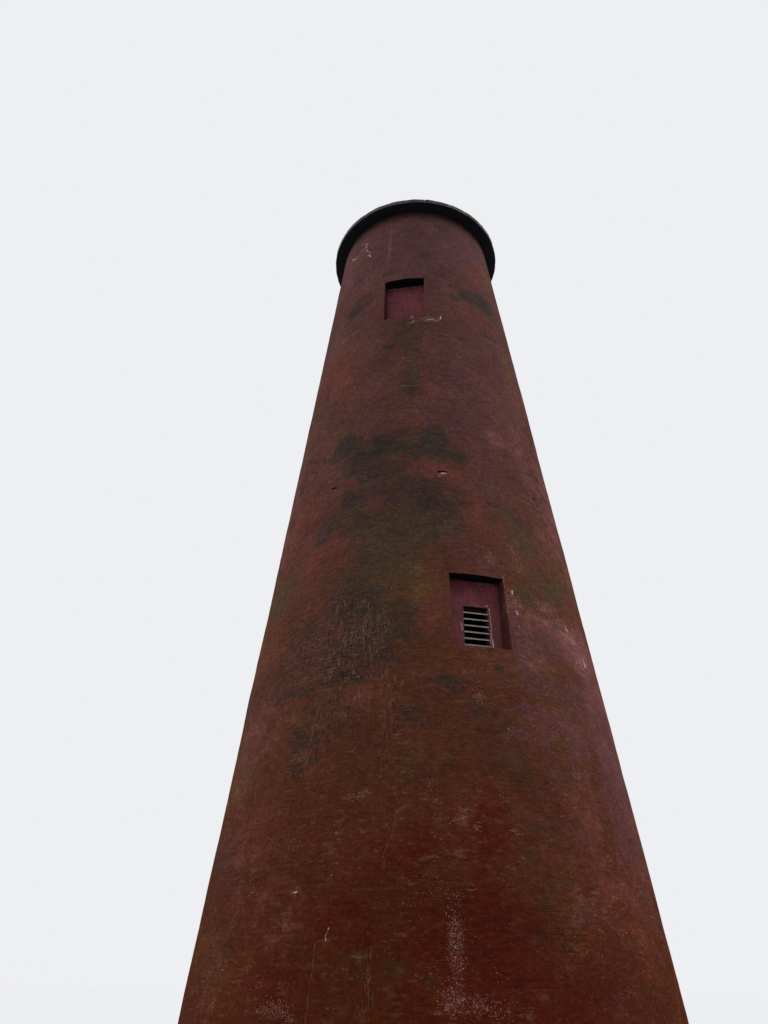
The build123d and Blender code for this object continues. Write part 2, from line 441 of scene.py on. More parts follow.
# Marks on the wall as azimuth, height, half width in degrees, half height in metres, and strength
wall_marks = {
    "furrow": [
        (-20, 6.8, 11, 1, 1), (-28, 5.2, 3, 0.8, 0.9), (-24, 5.6, 3, 0.6, 0.7), (-9, 5.6, 2.5, 1.3, 0.8),
        (-17, 5.6, 3, 0.5, 0.7), (-36, 7, 8, 0.5, 0.6), (-11.5, 1.6, 2, 0.6, 0.6), (-33, 4, 2, 0.5, 0.6),
    ],
    "algae": [
        (-31, 11.5, 8, 0.4, 1), (-15, 11.2, 12, 0.45, 1), (6, 11.3, 7, 0.5, 1), (14, 10.95, 5, 0.25, 0.9),
        (-14, 10.5, 11, 0.6, 0.9), (-5, 10, 9, 0.6, 0.9), (4, 9.6, 11, 0.7, 1), (-24, 9.8, 7, 0.35, 0.9),
        (-36, 9.4, 5, 0.45, 0.9), (-30, 9.7, 6, 0.3, 0.8), (-18, 9.2, 12, 0.6, 0.85),
        (-4, 8.9, 14, 0.5, 0.85), (30, 9.6, 9, 0.35, 0.5), (38, 9.5, 8, 0.3, 0.4), (-20, 7.6, 11, 0.5, 0.9),
        (-10, 7.1, 8, 0.6, 0.8), (-33, 5, 5, 0.5, 0.6), (-26, 4.9, 5, 0.4, 0.5), (15, 5.5, 6, 0.3, 0.55),
        (24, 5.5, 8, 0.2, 0.4), (18, 4.5, 5, 0.35, 0.4), (5, 5.9, 10, 0.2, 0.55), (-2, 5.3, 8, 0.3, 0.45),
        (40, 16.45, 20, 0.35, 0.8), (-38, 16.3, 10, 0.5, 0.7), (-42, 17.4, 8, 0.3, 0.5),
        (-14, 14.3, 6, 0.15, 0.7), (-4, 14.6, 8, 0.8, 0.6), (-3, 13.2, 5, 0.5, 0.7), (6, 17.7, 8, 0.2, 0.5),
        (-16, 17.2, 8, 0.3, 0.5), (23, 14.7, 3, 0.1, 0.7), (-57, 8.35, 9, 0.4, 0.4),
        (-22, 11, 14, 0.5, 0.9), (-20, 10.3, 10, 0.5, 0.8), (10, 9.2, 6, 0.5, 0.8),
        (-12, 8.4, 12, 0.4, 0.7), (-14, 6.9, 10, 0.7, 0.8), (-22, 5.4, 8, 0.4, 0.35), (20, 5, 8, 0.5, 0.35),
        (-4, 11.3, 9, 0.35, 0.8), (30, 16.4, 12, 0.3, 0.5),
    ],
    "olive": [
        (-30, 11.55, 6, 0.3, 1), (-36, 11.3, 4, 0.3, 0.7), (-15, 11.35, 6, 0.25, 0.9),
        (7, 11.35, 4.5, 0.35, 1), (2, 11, 10, 0.2, 0.7), (-22, 11.1, 9, 0.15, 0.7),
        (15, 10.9, 3, 0.15, 0.7), (-36, 9.35, 5, 0.35, 0.45), (-26, 10.05, 4.5, 0.25, 0.85),
        (4, 9.6, 9, 0.6, 0.6), (-22, 10.7, 9, 0.5, 0.45), (27, 9.8, 5, 0.15, 0.5), (38, 9.5, 5, 0.2, 0.35),
        (22, 16.2, 4, 0.12, 0.8), (32, 16.4, 7, 0.2, 0.9), (44, 16.5, 8, 0.35, 0.8),
        (-37, 16.2, 6, 0.25, 0.6), (-40, 17.5, 6, 0.2, 0.35), (-15, 14.35, 4.5, 0.08, 0.8),
        (0.5, 14.25, 1.5, 0.2, 0.7), (23, 14.7, 2, 0.08, 0.7), (-17, 17.3, 5, 0.3, 0.35),
        (-12, 16.97, 7, 0.05, 0.5), (-3, 12.8, 5, 0.2, 0.6), (-57, 8.35, 7, 0.35, 0.4),
        (-58, 11.05, 3.5, 0.15, 0.8), (-17, 7.6, 6, 0.35, 0.7), (-20, 6.9, 5, 0.5, 0.6),
        (-34, 5.15, 3, 0.25, 0.55), (-33, 4.6, 5, 0.2, 0.6), (-26, 4.8, 3, 0.2, 0.35),
        (15, 5.5, 5, 0.25, 0.4), (20.5, 6.2, 1.6, 0.1, 0.9), (4, 5.9, 6, 0.15, 0.35),
        (18, 4.5, 3.5, 0.25, 0.4), (-22, 6.08, 9, 0.14, 1), (-38, 5.98, 10, 0.06, 0.9),
        (-9, 6.35, 3, 0.2, 0.7), (-36, 3.4, 4, 0.2, 0.35), (28, 3.7, 2, 0.15, 0.4),
        (-4, 11.15, 7, 0.15, 0.8),
    ],
    "moss": [
        (48, 16.3, 12, 0.35, 0.9), (37, 9.1, 6, 0.35, 0.9), (31, 9.7, 5, 0.25, 0.8),
        (26, 10.2, 4, 0.15, 0.6), (-8, 9, 16, 0.6, 0.9), (-22, 9.6, 6, 0.2, 0.8), (-12, 8.3, 14, 0.35, 0.8),
        (-8, 7, 9, 0.7, 0.6), (-16, 8, 14, 0.45, 0.8), (-3, 13.5, 3, 0.4, 0.8), (-5, 14.7, 6, 0.4, 0.6),
        (-8, 7.4, 10, 0.5, 0.6), (37, 8.3, 9, 0.4, 0.5), (20, 4.6, 6, 0.4, 0.5), (-18, 3.6, 3, 0.15, 0.6),
        (-8, 4.6, 16, 0.6, 0.35), (-12, 1.7, 9, 0.3, 0.5), (0, 1.7, 3, 0.2, 0.4), (30, 6.2, 8, 0.2, 0.5),
        (26, 3.2, 7, 0.9, 0.45), (-26, 5.5, 12, 0.4, 0.4), (-57, 8.3, 10, 0.5, 1), (34, 7.95, 5, 0.35, 0.7),
        (47, 8.15, 8, 0.3, 0.8), (34, 7.1, 4, 0.35, 0.5), (42, 5.9, 8, 0.35, 0.5), (35, 4.8, 8, 0.4, 0.45),
    ],
    "ochre": [
        (-3, 8.2, 8, 0.2, 0.9), (-14, 8.5, 9, 0.3, 0.5), (-57, 4.6, 8, 0.4, 0.7), (0, 7.8, 5, 0.5, 0.6),
        (-55, 1.8, 12, 0.7, 0.6), (-62, 17.3, 8, 0.3, 0.6), (56, 17.8, 7, 0.6, 0.8),
        (48, 17.9, 6, 0.4, 0.5), (57, 14.6, 6, 0.6, 0.6), (56, 8.6, 8, 0.4, 0.6), (30, 2.6, 10, 0.4, 0.4),
    ],
    "orange": [
        (-45, 14.3, 14, 0.9, 0.8), (-38, 13.4, 12, 0.6, 0.6), (-24, 15.85, 4, 0.3, 0.7),
        (35, 15.7, 14, 0.3, 0.9), (40, 17.5, 9, 0.6, 0.8), (-48, 10.2, 12, 1.3, 0.6),
        (7, 10.5, 6, 0.18, 0.85), (15, 10.35, 6, 0.25, 0.5), (-28, 10.4, 4, 0.2, 1),
        (-33, 8.9, 12, 0.35, 0.7), (20, 9.4, 3, 0.6, 0.9), (16, 8.7, 3, 0.3, 0.5), (3.5, 13, 3, 0.6, 0.6),
        (0, 11.9, 5, 0.2, 0.6), (-52, 3.6, 12, 0.7, 0.5), (2.5, 7.2, 4, 0.5, 0.7), (-17, 5.7, 3.5, 0.2, 1),
        (-35, 2.5, 10, 0.6, 0.4), (56, 12, 5, 2, 0.5), (-57, 9, 5, 2, 0.4),
    ],
    "mauve": [
        (20, 13.3, 16, 1.3, 0.85), (8, 12.2, 8, 0.6, 0.6), (-20, 13.8, 5, 1, 0.7),
        (-20, 12.1, 8, 0.25, 0.7), (17, 11.9, 9, 0.5, 0.9), (24, 11.2, 6, 0.8, 0.8),
        (-16, 9.8, 4, 0.25, 0.7), (-14, 10.3, 5, 0.15, 0.5), (30, 10.3, 5, 0.35, 0.8),
        (11, 8.8, 5, 0.4, 0.6), (-25, 18.5, 5, 1, 0.5), (5, 18.5, 8, 0.8, 0.3), (45, 18.6, 12, 0.5, 0.5),
        (38, 14.5, 12, 0.6, 0.5), (-38, 7, 12, 0.8, 0.35), (-30, 15.5, 8, 0.4, 0.4),
        (-42, 6, 10, 0.3, 0.35), (10, 7.3, 3, 0.4, 0.4), (28, 7, 3, 0.8, 0.8), (40, 6.9, 8, 0.4, 0.8),
        (30, 4.4, 14, 0.8, 0.25), (-55, 15.9, 6, 0.5, 0.5), (40, 5.5, 16, 1, 0.55),
        (60, 4.8, 14, 2.2, 0.75), (-62, 5.6, 12, 1.6, 0.45), (28, 12.6, 14, 0.9, 0.5),
        (12, 7.4, 3.5, 0.9, 0.6), (17, 8.4, 8, 0.3, 0.6), (46, 3.2, 20, 1.6, 0.25), (32, 5.8, 12, 0.8, 0.5),
    ],
    "pink": [
        (36, 7.25, 8, 0.3, 0.7), (58, 7, 13, 0.6, 0.95), (32, 6.6, 6, 0.4, 0.6), (63, 5.7, 14, 1.2, 0.8),
        (60, 3.7, 16, 1, 0.55), (-56, 5.3, 11, 0.9, 0.32), (-42, 5.2, 10, 0.5, 0.22),
        (44, 11.8, 12, 0.5, 0.4), (30, 8.7, 4, 0.3, 0.3), (-57, 11.8, 5, 0.4, 0.4), (-44, 3.9, 8, 0.4, 0.3),
        (-17.5, 18.5, 1.5, 1, 0.8), (33, 11.7, 6, 0.3, 0.7), (29, 7, 4, 0.8, 0.7),
        (-12, 19.2, 8, 0.25, 0.4), (14, 19, 6, 0.25, 0.4), (50, 3.4, 22, 1.4, 0.36),
        (-44, 3, 14, 0.8, 0.26), (60, 10.6, 14, 1.6, 0.6), (-62, 10.4, 10, 1.6, 0.35),
    ],
    "red": [
        (14, 3.6, 5, 0.6, 0.8), (8, 1.9, 14, 1, 1), (-15, 2.3, 10, 0.7, 0.6), (0, 3, 18, 0.8, 0.5),
        (-30, 1.5, 14, 0.5, 0.5), (25, 1.4, 20, 0.6, 0.7), (-45, 7.6, 4, 0.12, 0.6),
        (12, 5.8, 4, 0.12, 0.6), (24, 5.8, 5, 0.15, 0.4), (-50, 1.2, 14, 0.5, 0.4),
    ],
    "spall": [
        (-38, 6.9, 10, 0.8, 0.8), (-24, 6.6, 9, 0.7, 0.9), (-18, 6.15, 6, 0.15, 1), (-40, 6, 10, 0.15, 0.9),
        (-14, 6.7, 4, 0.4, 0.7), (-45, 6.5, 4, 0.6, 0.7), (-9, 6.6, 2, 0.25, 0.8), (-24, 7.6, 7, 0.4, 0.6),
        (5, 5.9, 8, 0.1, 0.55), (46, 7.5, 10, 0.4, 0.45), (-45, 18.8, 8, 0.3, 0.55),
        (-38, 18.8, 4, 0.4, 0.5), (-57, 6.3, 7, 0.4, 0.55), (-44, 11.45, 4, 0.15, 0.6),
        (-41, 13.1, 5, 0.15, 0.4), (-46, 3, 12, 0.15, 0.4), (14, 13.4, 9, 0.8, 0.35),
        (28, 12.4, 8, 0.6, 0.35), (42, 11.2, 8, 0.5, 0.35), (-33, 10.5, 2, 0.1, 0.8),
        (46, 15.2, 6, 0.06, 0.7), (54, 10.8, 10, 1.2, 0.6), (58, 8.6, 8, 0.5, 0.55),
        (-54, 11.4, 8, 1, 0.55), (-42, 10.6, 4, 0.25, 0.7), (-52, 13.6, 6, 0.6, 0.5),
        (-50, 9.6, 6, 0.5, 0.5), (-58, 3.4, 10, 0.8, 0.5), (60, 12.6, 8, 0.8, 0.5),
    ],
    "flecks": [
        (-51, 18.68, 5, 0.06, 1), (-40, 18.8, 5, 0.2, 0.6), (-33, 18.35, 2, 0.05, 0.9),
        (-39, 19.15, 4, 0.08, 0.5), (-42, 18.4, 5, 0.15, 0.4), (-2.7, 15.3, 1.5, 0.05, 1),
        (-2.7, 15.12, 1.5, 0.04, 1), (7, 15.25, 5, 0.1, 0.9), (12.5, 15.35, 1.2, 0.06, 1),
        (-43, 15.3, 3, 0.05, 0.8), (-35, 15.35, 4, 0.05, 0.5), (15, 16.87, 2, 0.04, 0.6),
        (12, 19.23, 1.2, 0.04, 0.7), (46, 15.13, 5, 0.05, 0.7), (-38, 13.65, 4, 0.12, 0.5),
        (-6.5, 13.9, 1.2, 0.04, 0.6), (-38, 12.1, 2, 0.05, 0.6), (-1, 12.2, 1, 0.06, 0.8),
        (6, 12.45, 1, 0.05, 0.6), (8, 10.42, 1.6, 0.05, 1), (-36, 10.5, 1.5, 0.05, 0.7),
        (28, 10.4, 1, 0.04, 0.5), (23, 8.5, 2, 0.15, 0.8), (33, 8.6, 2, 0.3, 0.4), (41, 7.7, 5, 0.15, 0.8),
        (46, 7.4, 6, 0.16, 0.7), (52, 7.3, 4, 0.16, 1), (57, 6.9, 4, 0.18, 1), (55, 7.2, 3, 0.05, 1),
        (44, 6.95, 1, 0.04, 0.8), (29, 7.6, 1.5, 0.3, 0.6), (-14, 6.5, 2, 0.12, 0.4),
        (-27, 6.2, 2, 0.1, 0.35), (-33, 6.9, 4, 0.15, 0.4), (-11, 6.8, 1, 0.1, 0.6), (-8, 5, 1, 0.04, 0.7),
        (-17, 4.1, 1.5, 0.08, 0.7), (-14, 4.1, 1, 0.1, 0.7), (-17.5, 4.8, 1, 0.05, 0.6),
        (1, 4.25, 1, 0.12, 0.8), (2, 4, 2, 0.05, 0.7), (8, 3.75, 1.5, 0.12, 0.8), (5, 4.7, 1, 0.05, 0.5),
        (14, 5.7, 1, 0.15, 0.8), (22, 5.15, 1.5, 0.05, 0.7), (17.5, 4.05, 1, 0.05, 0.6),
        (-28.5, 2.78, 1, 0.06, 1), (-30, 1.3, 4, 0.1, 0.7), (-26, 1.22, 1, 0.05, 1), (5, 2.1, 1.3, 0.5, 1),
        (4, 1.45, 2.5, 0.16, 0.9), (8, 1.38, 3, 0.14, 0.65), (12, 1.32, 3, 0.12, 0.45),
        (-19, 6.1, 2, 0.06, 0.45), (26.2, 8.1, 0.8, 0.12, 0.9), (25.8, 7.5, 0.5, 0.3, 0.6),
        (-47, 18.7, 5, 0.15, 0.7), (-18, 6.9, 6, 0.3, 0.3),
    ],
}

# The far side has no marks of its own to follow, so the same kinds gather there in drifts of like size
scatter = np.random.default_rng(41)
for kinds, drifts, members, lowest, highest, strongest in (
    (("algae", "olive"), 9, 5, 4.0, 18.5, 0.95),
    (("moss",), 6, 4, 2.0, 18.0, 0.9),
    (("ochre",), 3, 2, 5.0, 18.0, 0.6),
    (("orange",), 5, 3, 6.0, 18.5, 0.7),
    (("mauve",), 5, 3, 6.0, 18.5, 0.6),
    (("pink",), 2, 3, 5.0, 12.0, 0.45),
    (("red",), 3, 2, 0.8, 3.5, 0.9),
    (("spall",), 5, 3, 2.0, 18.5, 0.9),
    (("flecks",), 8, 4, 1.0, 18.5, 0.7),
    (("furrow",), 3, 3, 2.0, 8.0, 0.9),
):
    for _ in range(drifts):
        middle, level = scatter.uniform(80, 280), scatter.uniform(lowest, highest)
        for kind in kinds * members:
            azimuth = np.clip(middle + scatter.normal(0, 10), 70, 290)
            height = np.clip(level + scatter.normal(0, 0.5), 0.4, wall_height - 0.2)
            half_width, half_height = scatter.uniform(5, 13), scatter.uniform(0.2, 0.6)
            if kind == "red":
                half_width, half_height = 24, 1.0
            if kind in ("olive", "flecks"):
                half_width, half_height = half_width * 0.5, half_height * 0.4
            if kind == "furrow":
                half_width, half_height = half_width * 0.6, half_height * 1.6
            strength = strongest * scatter.uniform(0.5, 1.0)
            wall_marks[kind].append((azimuth, height, half_width, half_height, strength))


def mark_field(kind, azimuth, height):
    """How strong a kind of mark is at each place on the wall, 0 to 1."""
    field = np.zeros(len(azimuth))
    for centre, level, half_width, half_height, strength in wall_marks[kind]:
        across = (azimuth - centre + 180) % 360 - 180
        reach = np.hypot(across / half_width, (height - level) / half_height)
        field = np.maximum(field, strength * np.clip(1.5 - reach, 0, 1))
    return field


def soft_noise(azimuth, height, around, upward, seed):
    """Smooth noise from -1 to 1 that closes round the tower, with that many patches around and upward."""
    grid = np.random.default_rng(seed).uniform(-1, 1, (upward + 2, around))
    x, y = azimuth / 360 % 1 * around, np.clip(height / wall_height, 0, 1) * upward
    i, j = np.floor(x).astype(int), np.floor(y).astype(int)
    s, t = x - i, y - j
    s, t = s * s * (3 - 2 * s), t * t * (3 - 2 * t)
    left, right = i % around, (i + 1) % around
    lower = grid[j, left] * (1 - s) + grid[j, right] * s
    upper = grid[j + 1, left] * (1 - s) + grid[j + 1, right] * s
    return lower * (1 - t) + upper * t


def lost_wash(azimuth, height):
    """Where the wash has scaled off the brick, 0 to 1, with a ragged edge."""
    ragged = 0.35 * soft_noise(azimuth, height, 60, 60, 5) + 0.35 * soft_noise(azimuth, height, 190, 270, 6)
    return np.clip((mark_field("spall", azimuth, height) + ragged - 0.45) / 0.15, 0, 1)


def face_offset(azimuth, height):
    """How far the washed face stands out of the true cone, in metres."""
    offset = 0.009 * soft_noise(azimuth, height, 16, 12, 1) + 0.0045 * soft_noise(azimuth, height, 50, 40, 2)
    offset += 0.002 * soft_noise(azimuth, height, 120, 130, 3)
    broken = lost_wash(azimuth, height)
    return offset - broken * (0.007 + 0.003 * soft_noise(azimuth, height, 150, 190, 4))


def joint_depth(azimuth, height):
    """How deep the bed joints still show through the wash."""
    thin = np.clip(soft_noise(azimuth, height, 46, 60, 7), 0, 1)
    return 0.0004 + 0.0012 * thin * thin + 0.0010 * lost_wash(azimuth, height)


def tube_faces(rings, sides, closed=False):
    """Faces between rings of points that are listed one ring after the other."""
    faces = []
    for ring in range(rings if closed else rings - 1):
        start, onward = ring * sides, (ring + 1) % rings * sides
        for corner in range(sides):
            beside = (corner + 1) % sides
            faces.append([start + corner, start + beside, onward + beside, onward + corner])
    return faces


def lift_mesh(low, high, carries_floor):
    """Closed ring of wall: the coursed outer face going up, the ledge and the inner face coming down."""
    first, last = round(low / course), round(high / course)
    heights, in_joint = [low], [0.6]
    for row in range(first, last):
        heights += [row * course + bed_joint / 2, (row + 1) * course - bed_joint / 2, (row + 1) * course]
        in_joint += [0, 0, 1]
    heights[-1], in_joint[-1] = high, 0.6
    around = np.arange(columns) * 360 / columns
    height, azimuth = [field.ravel() for field in np.meshgrid(heights, around, indexing="ij")]
    radius = outer_radius(height) + face_offset(azimuth, height)
    radius -= np.repeat(in_joint, columns) * joint_depth(azimuth, height)
    inner = [(inner_radius(high), high), (inner_radius(low), low)]
    if carries_floor:
        spring = high - ledge_height - ledge_width
        tip = inner_radius(high) - ledge_width
        inner = [(tip, high), (tip, high - ledge_height), (inner_radius(spring), spring), inner[1]]
    for ring_radius, ring_height in inner:
        radius = np.append(radius, np.full(columns, ring_radius))
        height = np.append(height, np.full(columns, ring_height))
        azimuth = np.append(azimuth, around)
    angle = np.radians(azimuth)
    points = np.stack([radius * np.sin(angle), -radius * np.cos(angle), height], 1)
    return points, tube_faces(len(heights) + len(inner), columns, closed=True)


def cut_away(piece, cutters):
    """Cuts blocks, given as points and faces, out of a piece, which keeps its material."""
    material = piece.data.materials[0]
    for number, (points, faces) in enumerate(cutters):
        mesh = bpy.data.meshes.new(f"cutter_{number}")
        mesh.from_pydata(points.tolist(), [], faces)
        cutter = bpy.data.objects.new(mesh.name, mesh)
        bpy.context.scene.collection.objects.link(cutter)
        cut = piece.modifiers.new("cut", "BOOLEAN")
        cut.operation, cut.solver, cut.object = "DIFFERENCE", "MANIFOLD", cutter
        graph = bpy.context.evaluated_depsgraph_get()
        cut_mesh = bpy.data.meshes.new_from_object(piece.evaluated_get(graph))
        piece.modifiers.clear()
        piece.data = cut_mesh
        bpy.data.objects.remove(cutter)
    piece.data.materials.clear()
    piece.data.materials.append(material)
    smooth(piece)


def opening_cutter(azimuth, width, low, high, inner, outer, seed):
    """Block with slightly chipped edges that cuts an opening between two distances from the axis."""
    near, far = (-width / 2, -outer, low), (width / 2, -inner, high)
    points, faces = grid_block(near, far, (0.05, 0.09, 0.05), 0.004)
    return turned(worn(points, 0.005, 0.07, seed), azimuth), faces


def through_window(panel, azimuth, seed):
    """Cutter for the window that a panel blocks."""
    azimuth, low, high = facing(panel, azimuth)
    return opening_cutter(azimuth, high[0] - low[0], low[2], high[2], head_radius / 2, foot_radius, seed)


def tower_coordinates_group():
    """Place on the tower in metres: along the wall, up, and out from the axis."""
    group, given, made = shader_group(
        "tower_coordinates", {"Place": "Vector"}, {"Along": "Float", "Up": "Float", "Out": "Float"},
    )
    axes = put("SeparateXYZ", {0: given["Place"]})
    angle = calc("ARCTAN2", axes[0], times(axes[1], -1.0))
    level = put("CombineXYZ", {0: axes[0], 1: axes[1]})[0]
    radius = put("VectorMath", {0: level}, operation="LENGTH")["Value"]
    group.links.new(times(angle, radius), made["Along"])
    group.links.new(axes[2], made["Up"])
    group.links.new(radius, made["Out"])
    return group


def crack_group():
    """Thin wandering crack between two places that are given as metres along and up the wall."""
    group, given, made = shader_group(
        "crack",
        {"Spot": "Vector", "Start": "Vector", "End": "Vector", "Width": "Float"},
        {"Mask": "Float"},
    )
    spot = vector("MULTIPLY", shaken(given["Spot"], 3.0, 5.0, 0.3), (1, 1, 0))[0]
    run = vector("SUBTRACT", given["End"], given["Start"])[0]
    here = vector("SUBTRACT", spot, given["Start"])[0]
    along = vector("DOT_PRODUCT", here, run)["Value"]
    whole = vector("DOT_PRODUCT", run, run)["Value"]
    share = put("Math", {0: along, 1: whole}, operation="DIVIDE", use_clamp=True)[0]
    nearest = scaled(run, share)
    away = vector("DISTANCE", here, nearest)["Value"]
    group.links.new(ramp(away, 0.0, given["Width"], 1.0, 0.0), made["Mask"])
    return group


tower_coordinates = tower_coordinates_group()
crack = crack_group()

# Cracks as azimuth and height of one end, azimuth and height of the other, and width in metres
wall_cracks = [
    (-29, 5.8, -30, 4.7, 0.008), (-9, 6.3, -9.3, 4.1, 0.011), (-6.3, 3.9, -9, 3, 0.014),
    (-25, 5.9, -27, 5.3, 0.007), (-46, 5.1, -48, 3.9, 0.008), (-8, 12.98, 1, 13, 0.024),
    (33, 17.3, 43, 17.7, 0.02), (-22.5, 2.1, -23, 1.1, 0.01), (-11.5, 2, -11, 1.1, 0.007),
    (150, 6.5, 152, 4.4, 0.009), (206, 9.6, 207, 8, 0.009), (236, 3.6, 232, 2.1, 0.01),
    (118, 13, 119, 12.1, 0.009),
]

# Larger splashes and scrapes of lime, given in the same way
lime_splashes = [
    (28.4, 7.4, 28.7, 7.35, 0.034), (28.6, 7.88, 28.8, 7.82, 0.022), (28.5, 7.14, 28.7, 7.12, 0.018),
    (-20, 2.32, -19.8, 2.16, 0.008), (-28.9, 2.8, -28.2, 2.78, 0.02), (-2.9, 15.33, -2.6, 15.24, 0.02),
    (-3.6, 15.12, -1.9, 15.13, 0.018), (13, 15.38, 13.2, 15.3, 0.02), (7.3, 10.41, 9.4, 10.43, 0.02),
    (-53, 18.84, -47, 18.62, 0.02), (-34.5, 18.38, -31.8, 18.28, 0.018), (-42, 19.14, -36.5, 18.88, 0.016),
    (-38, 18.86, -34.5, 18.48, 0.01), (9.6, 15.25, 12.4, 15.26, 0.008), (4.6, 15.21, 6.2, 15.22, 0.007),
    (6.8, 15.27, 8.8, 15.26, 0.008), (54, 7.22, 55, 7.16, 0.024), (50.2, 7.5, 50.8, 7.4, 0.018),
    (57.2, 6.92, 57.8, 6.78, 0.016),
]


def on_wall(azimuth, height):
    """Metres along and up the wall of a place on it."""
    around = (azimuth + 180) % 360 - 180
    return (math.radians(around) * outer_radius(height), height, 0.0)


def lines_on_wall(spot, lines, low, high):
    """Mask of the lines that lie between two heights of the wall."""
    mask = None
    for first, first_height, second, second_height, width in lines:
        if not low - 0.5 < first_height < high + 0.5:
            continue
        start, end = on_wall(first, first_height), on_wall(second, second_height)
        line = use(crack, Spot=spot, Start=start, End=end, Width=width)["Mask"]
        mask = line if mask is None else most(mask, line)
    return mask


def marked(place, kind):
    """Strength of a mark at a place, which the mesh stores on its points under the mark's name."""
    return put("Attribute", {}, place.id_data, attribute_name=kind)["Fac"]


def upward(place):
    """How far the face at a place looks up: 1 on a top, -1 on an underside."""
    normal = put("NewGeometry", {}, place.id_data)["Normal"]
    return put("SeparateXYZ", {0: normal})[2]


def limewash_finish(name, low, high):
    """Red limewash over brick, with every mark of the wall between two heights, and painted shade on
    undersides and under the deck.
    """
    material, shader, place = new_finish(name, 0.95)
    shader.inputs["Specular IOR Level"].default_value = 0.0
    shader.inputs["Sheen Weight"].default_value = 0.017
    shader.inputs["Sheen Roughness"].default_value = 0.6
    tower = use(tower_coordinates, Place=place)
    along, up = tower["Along"], tower["Up"]
    bricks = use(bond, Along=along, Up=up, Length=brick_length, Course=course, Joint=0.012)
    spot = put("CombineXYZ", {0: along, 1: up})[0]

    def tint(color, kind, scale, softness, cover, paint):
        if not any(low < level + half and level - half < high for _, level, _, half, _ in wall_marks[kind]):
            return color
        mask = patches(place, marked(place, kind), scale, softness)
        return blend(times(mask, cover), color, paint)

    # The wash is drawn redder and a little darker towards the foot, and greyer towards the deck
    color = blend(ramp(up, 1.0, 7.5), srgb(70, 30, 13), srgb(78, 45, 31))
    color = blend(ramp(up, 6.5, 13.0), color, srgb(77, 48, 43))
    color = blend(ramp(up, 14.0, 18.0), color, srgb(78, 50, 50))
    pink = blend(ramp(up, 2.5, 6.5), srgb(94, 50, 38), srgb(106, 65, 64))
    color = tint(color, "pink", 1.8, 0.50, 0.85, pink)
    ochre = blend(ramp(up, 2.5, 7.0), srgb(72, 44, 24), srgb(84, 62, 36))
    color = tint(color, "ochre", 2.4, 0.32, 0.85, ochre)
    color = tint(color, "red", 1.8, 0.40, 0.90, srgb(68, 21, 10))
    dark = blend(ramp(up, 3.0, 9.0), srgb(54, 35, 26), srgb(60, 45, 41))
    color = tint(color, "algae", 2.6, 0.24, 0.85, dark)
    green = blend(ramp(up, 3.0, 8.0), srgb(62, 43, 25), srgb(64, 52, 35))
    color = tint(color, "moss", 3.0, 0.30, 0.75, green)
    color = tint(color, "mauve", 1.9, 0.35, 0.75, srgb(79, 48, 50))
    color = tint(color, "orange", 2.4, 0.26, 0.80, srgb(89, 48, 40))
    dark = blend(ramp(up, 3.0, 9.0), srgb(48, 37, 26), srgb(44, 40, 35))
    color = tint(color, "olive", 3.4, 0.22, 0.72, dark)

    # Faint clouding, and a crisp fine texture that is drawn out along the courses
    body = use(weathering, Place=place, Color=color, Scale=1.0, Contrast=0.12)
    grain = body["Height"]
    broad = ramp(cloud(place, 1.1, 10, None, 0.66), 0.3, 0.7, 0.88, 1.12)
    weave = ramp(cloud(place, 9.0, 7, (1.0, 1.0, 1.7), 0.78), 0.36, 0.64, 0.78, 1.22)
    grit = ramp(cloud(place, 26.0, 5, None, 0.72), 0.38, 0.62, 0.87, 1.20)
    color = blend(1.0, body["Color"], times(broad, weave), "MULTIPLY")
    color = blend(1.0, color, grit, "MULTIPLY")

    # Bricks show where the wash has scaled, and as short broken dashes where it is thin
    spall = patches(place, marked(place, "spall"), 5.0, 0.14)
    thin = plus(cloud(place, 1.3, 6, (1.0, 1.0, 2.6), 0.65), ramp(up, 2.0, 8.0, 0.06, 0.0))
    thin = times(ramp(thin, 0.52, 0.68), ramp(up, 3.0, 8.0, 0.95, 0.6))
    shows = most(thin, times(spall, 0.5))
    tone = ramp(bricks["Tone"], 0, 1, 0.72, 1.34)
    color = blend(times(shows, 0.5), color, tone, "MULTIPLY")
    mottled = ramp(cloud(place, 15.0, 6, None, 0.74), 0.36, 0.64)
    old_brick = blend(mottled, srgb(27, 21, 20), srgb(80, 53, 44))
    color = blend(times(spall, 0.66), color, old_brick)
    in_joint = times(times(bricks["Joint"], shows), ramp(weave, 0.85, 1.10))
    color = blend(times(in_joint, 0.45), color, srgb(36, 27, 25))

    # Furrows that water has worn down the face, drawn in colour alone: pale along one lip, partly their own
    # colour and partly painted highlight, and painted shade along the other
    drips = times(cloud(place, 7.0, 3, (1.0, 1.0, 0.07), 0.55), 9.0)
    furrow_place = patches(place, marked(place, "furrow"), 4.0, 0.2)
    pale_lip_and_highlight = times(ramp(calc("PINGPONG", drips, 0.5), 0.0, 0.10, 1.0, 0.0), furrow_place)
    color = blend(times(pale_lip_and_highlight, 0.42), color, srgb(124, 98, 80))
    # Painted shade: a dark line beside each pale lip stands in for the shadow inside the furrow
    dark = ramp(calc("PINGPONG", plus(drips, 0.75), 0.5), 0.0, 0.16, 0.55, 0.0)
    color = blend(times(dark, furrow_place), color, srgb(26, 20, 20))

    # A thin ragged haze of algae lies over the whole wall
    haze = ramp(cloud(place, 1.2, 10, (1.0, 1.0, 1.6), 0.72), 0.50, 0.72, 0.0, 0.30)
    haze = times(haze, ramp(up, 1.0, 5.0, 0.5, 1.0))
    color = blend(haze, color, srgb(56, 43, 35))
    color = blend(times(marked(place, "reveal"), 0.9), color, srgb(74, 30, 36))

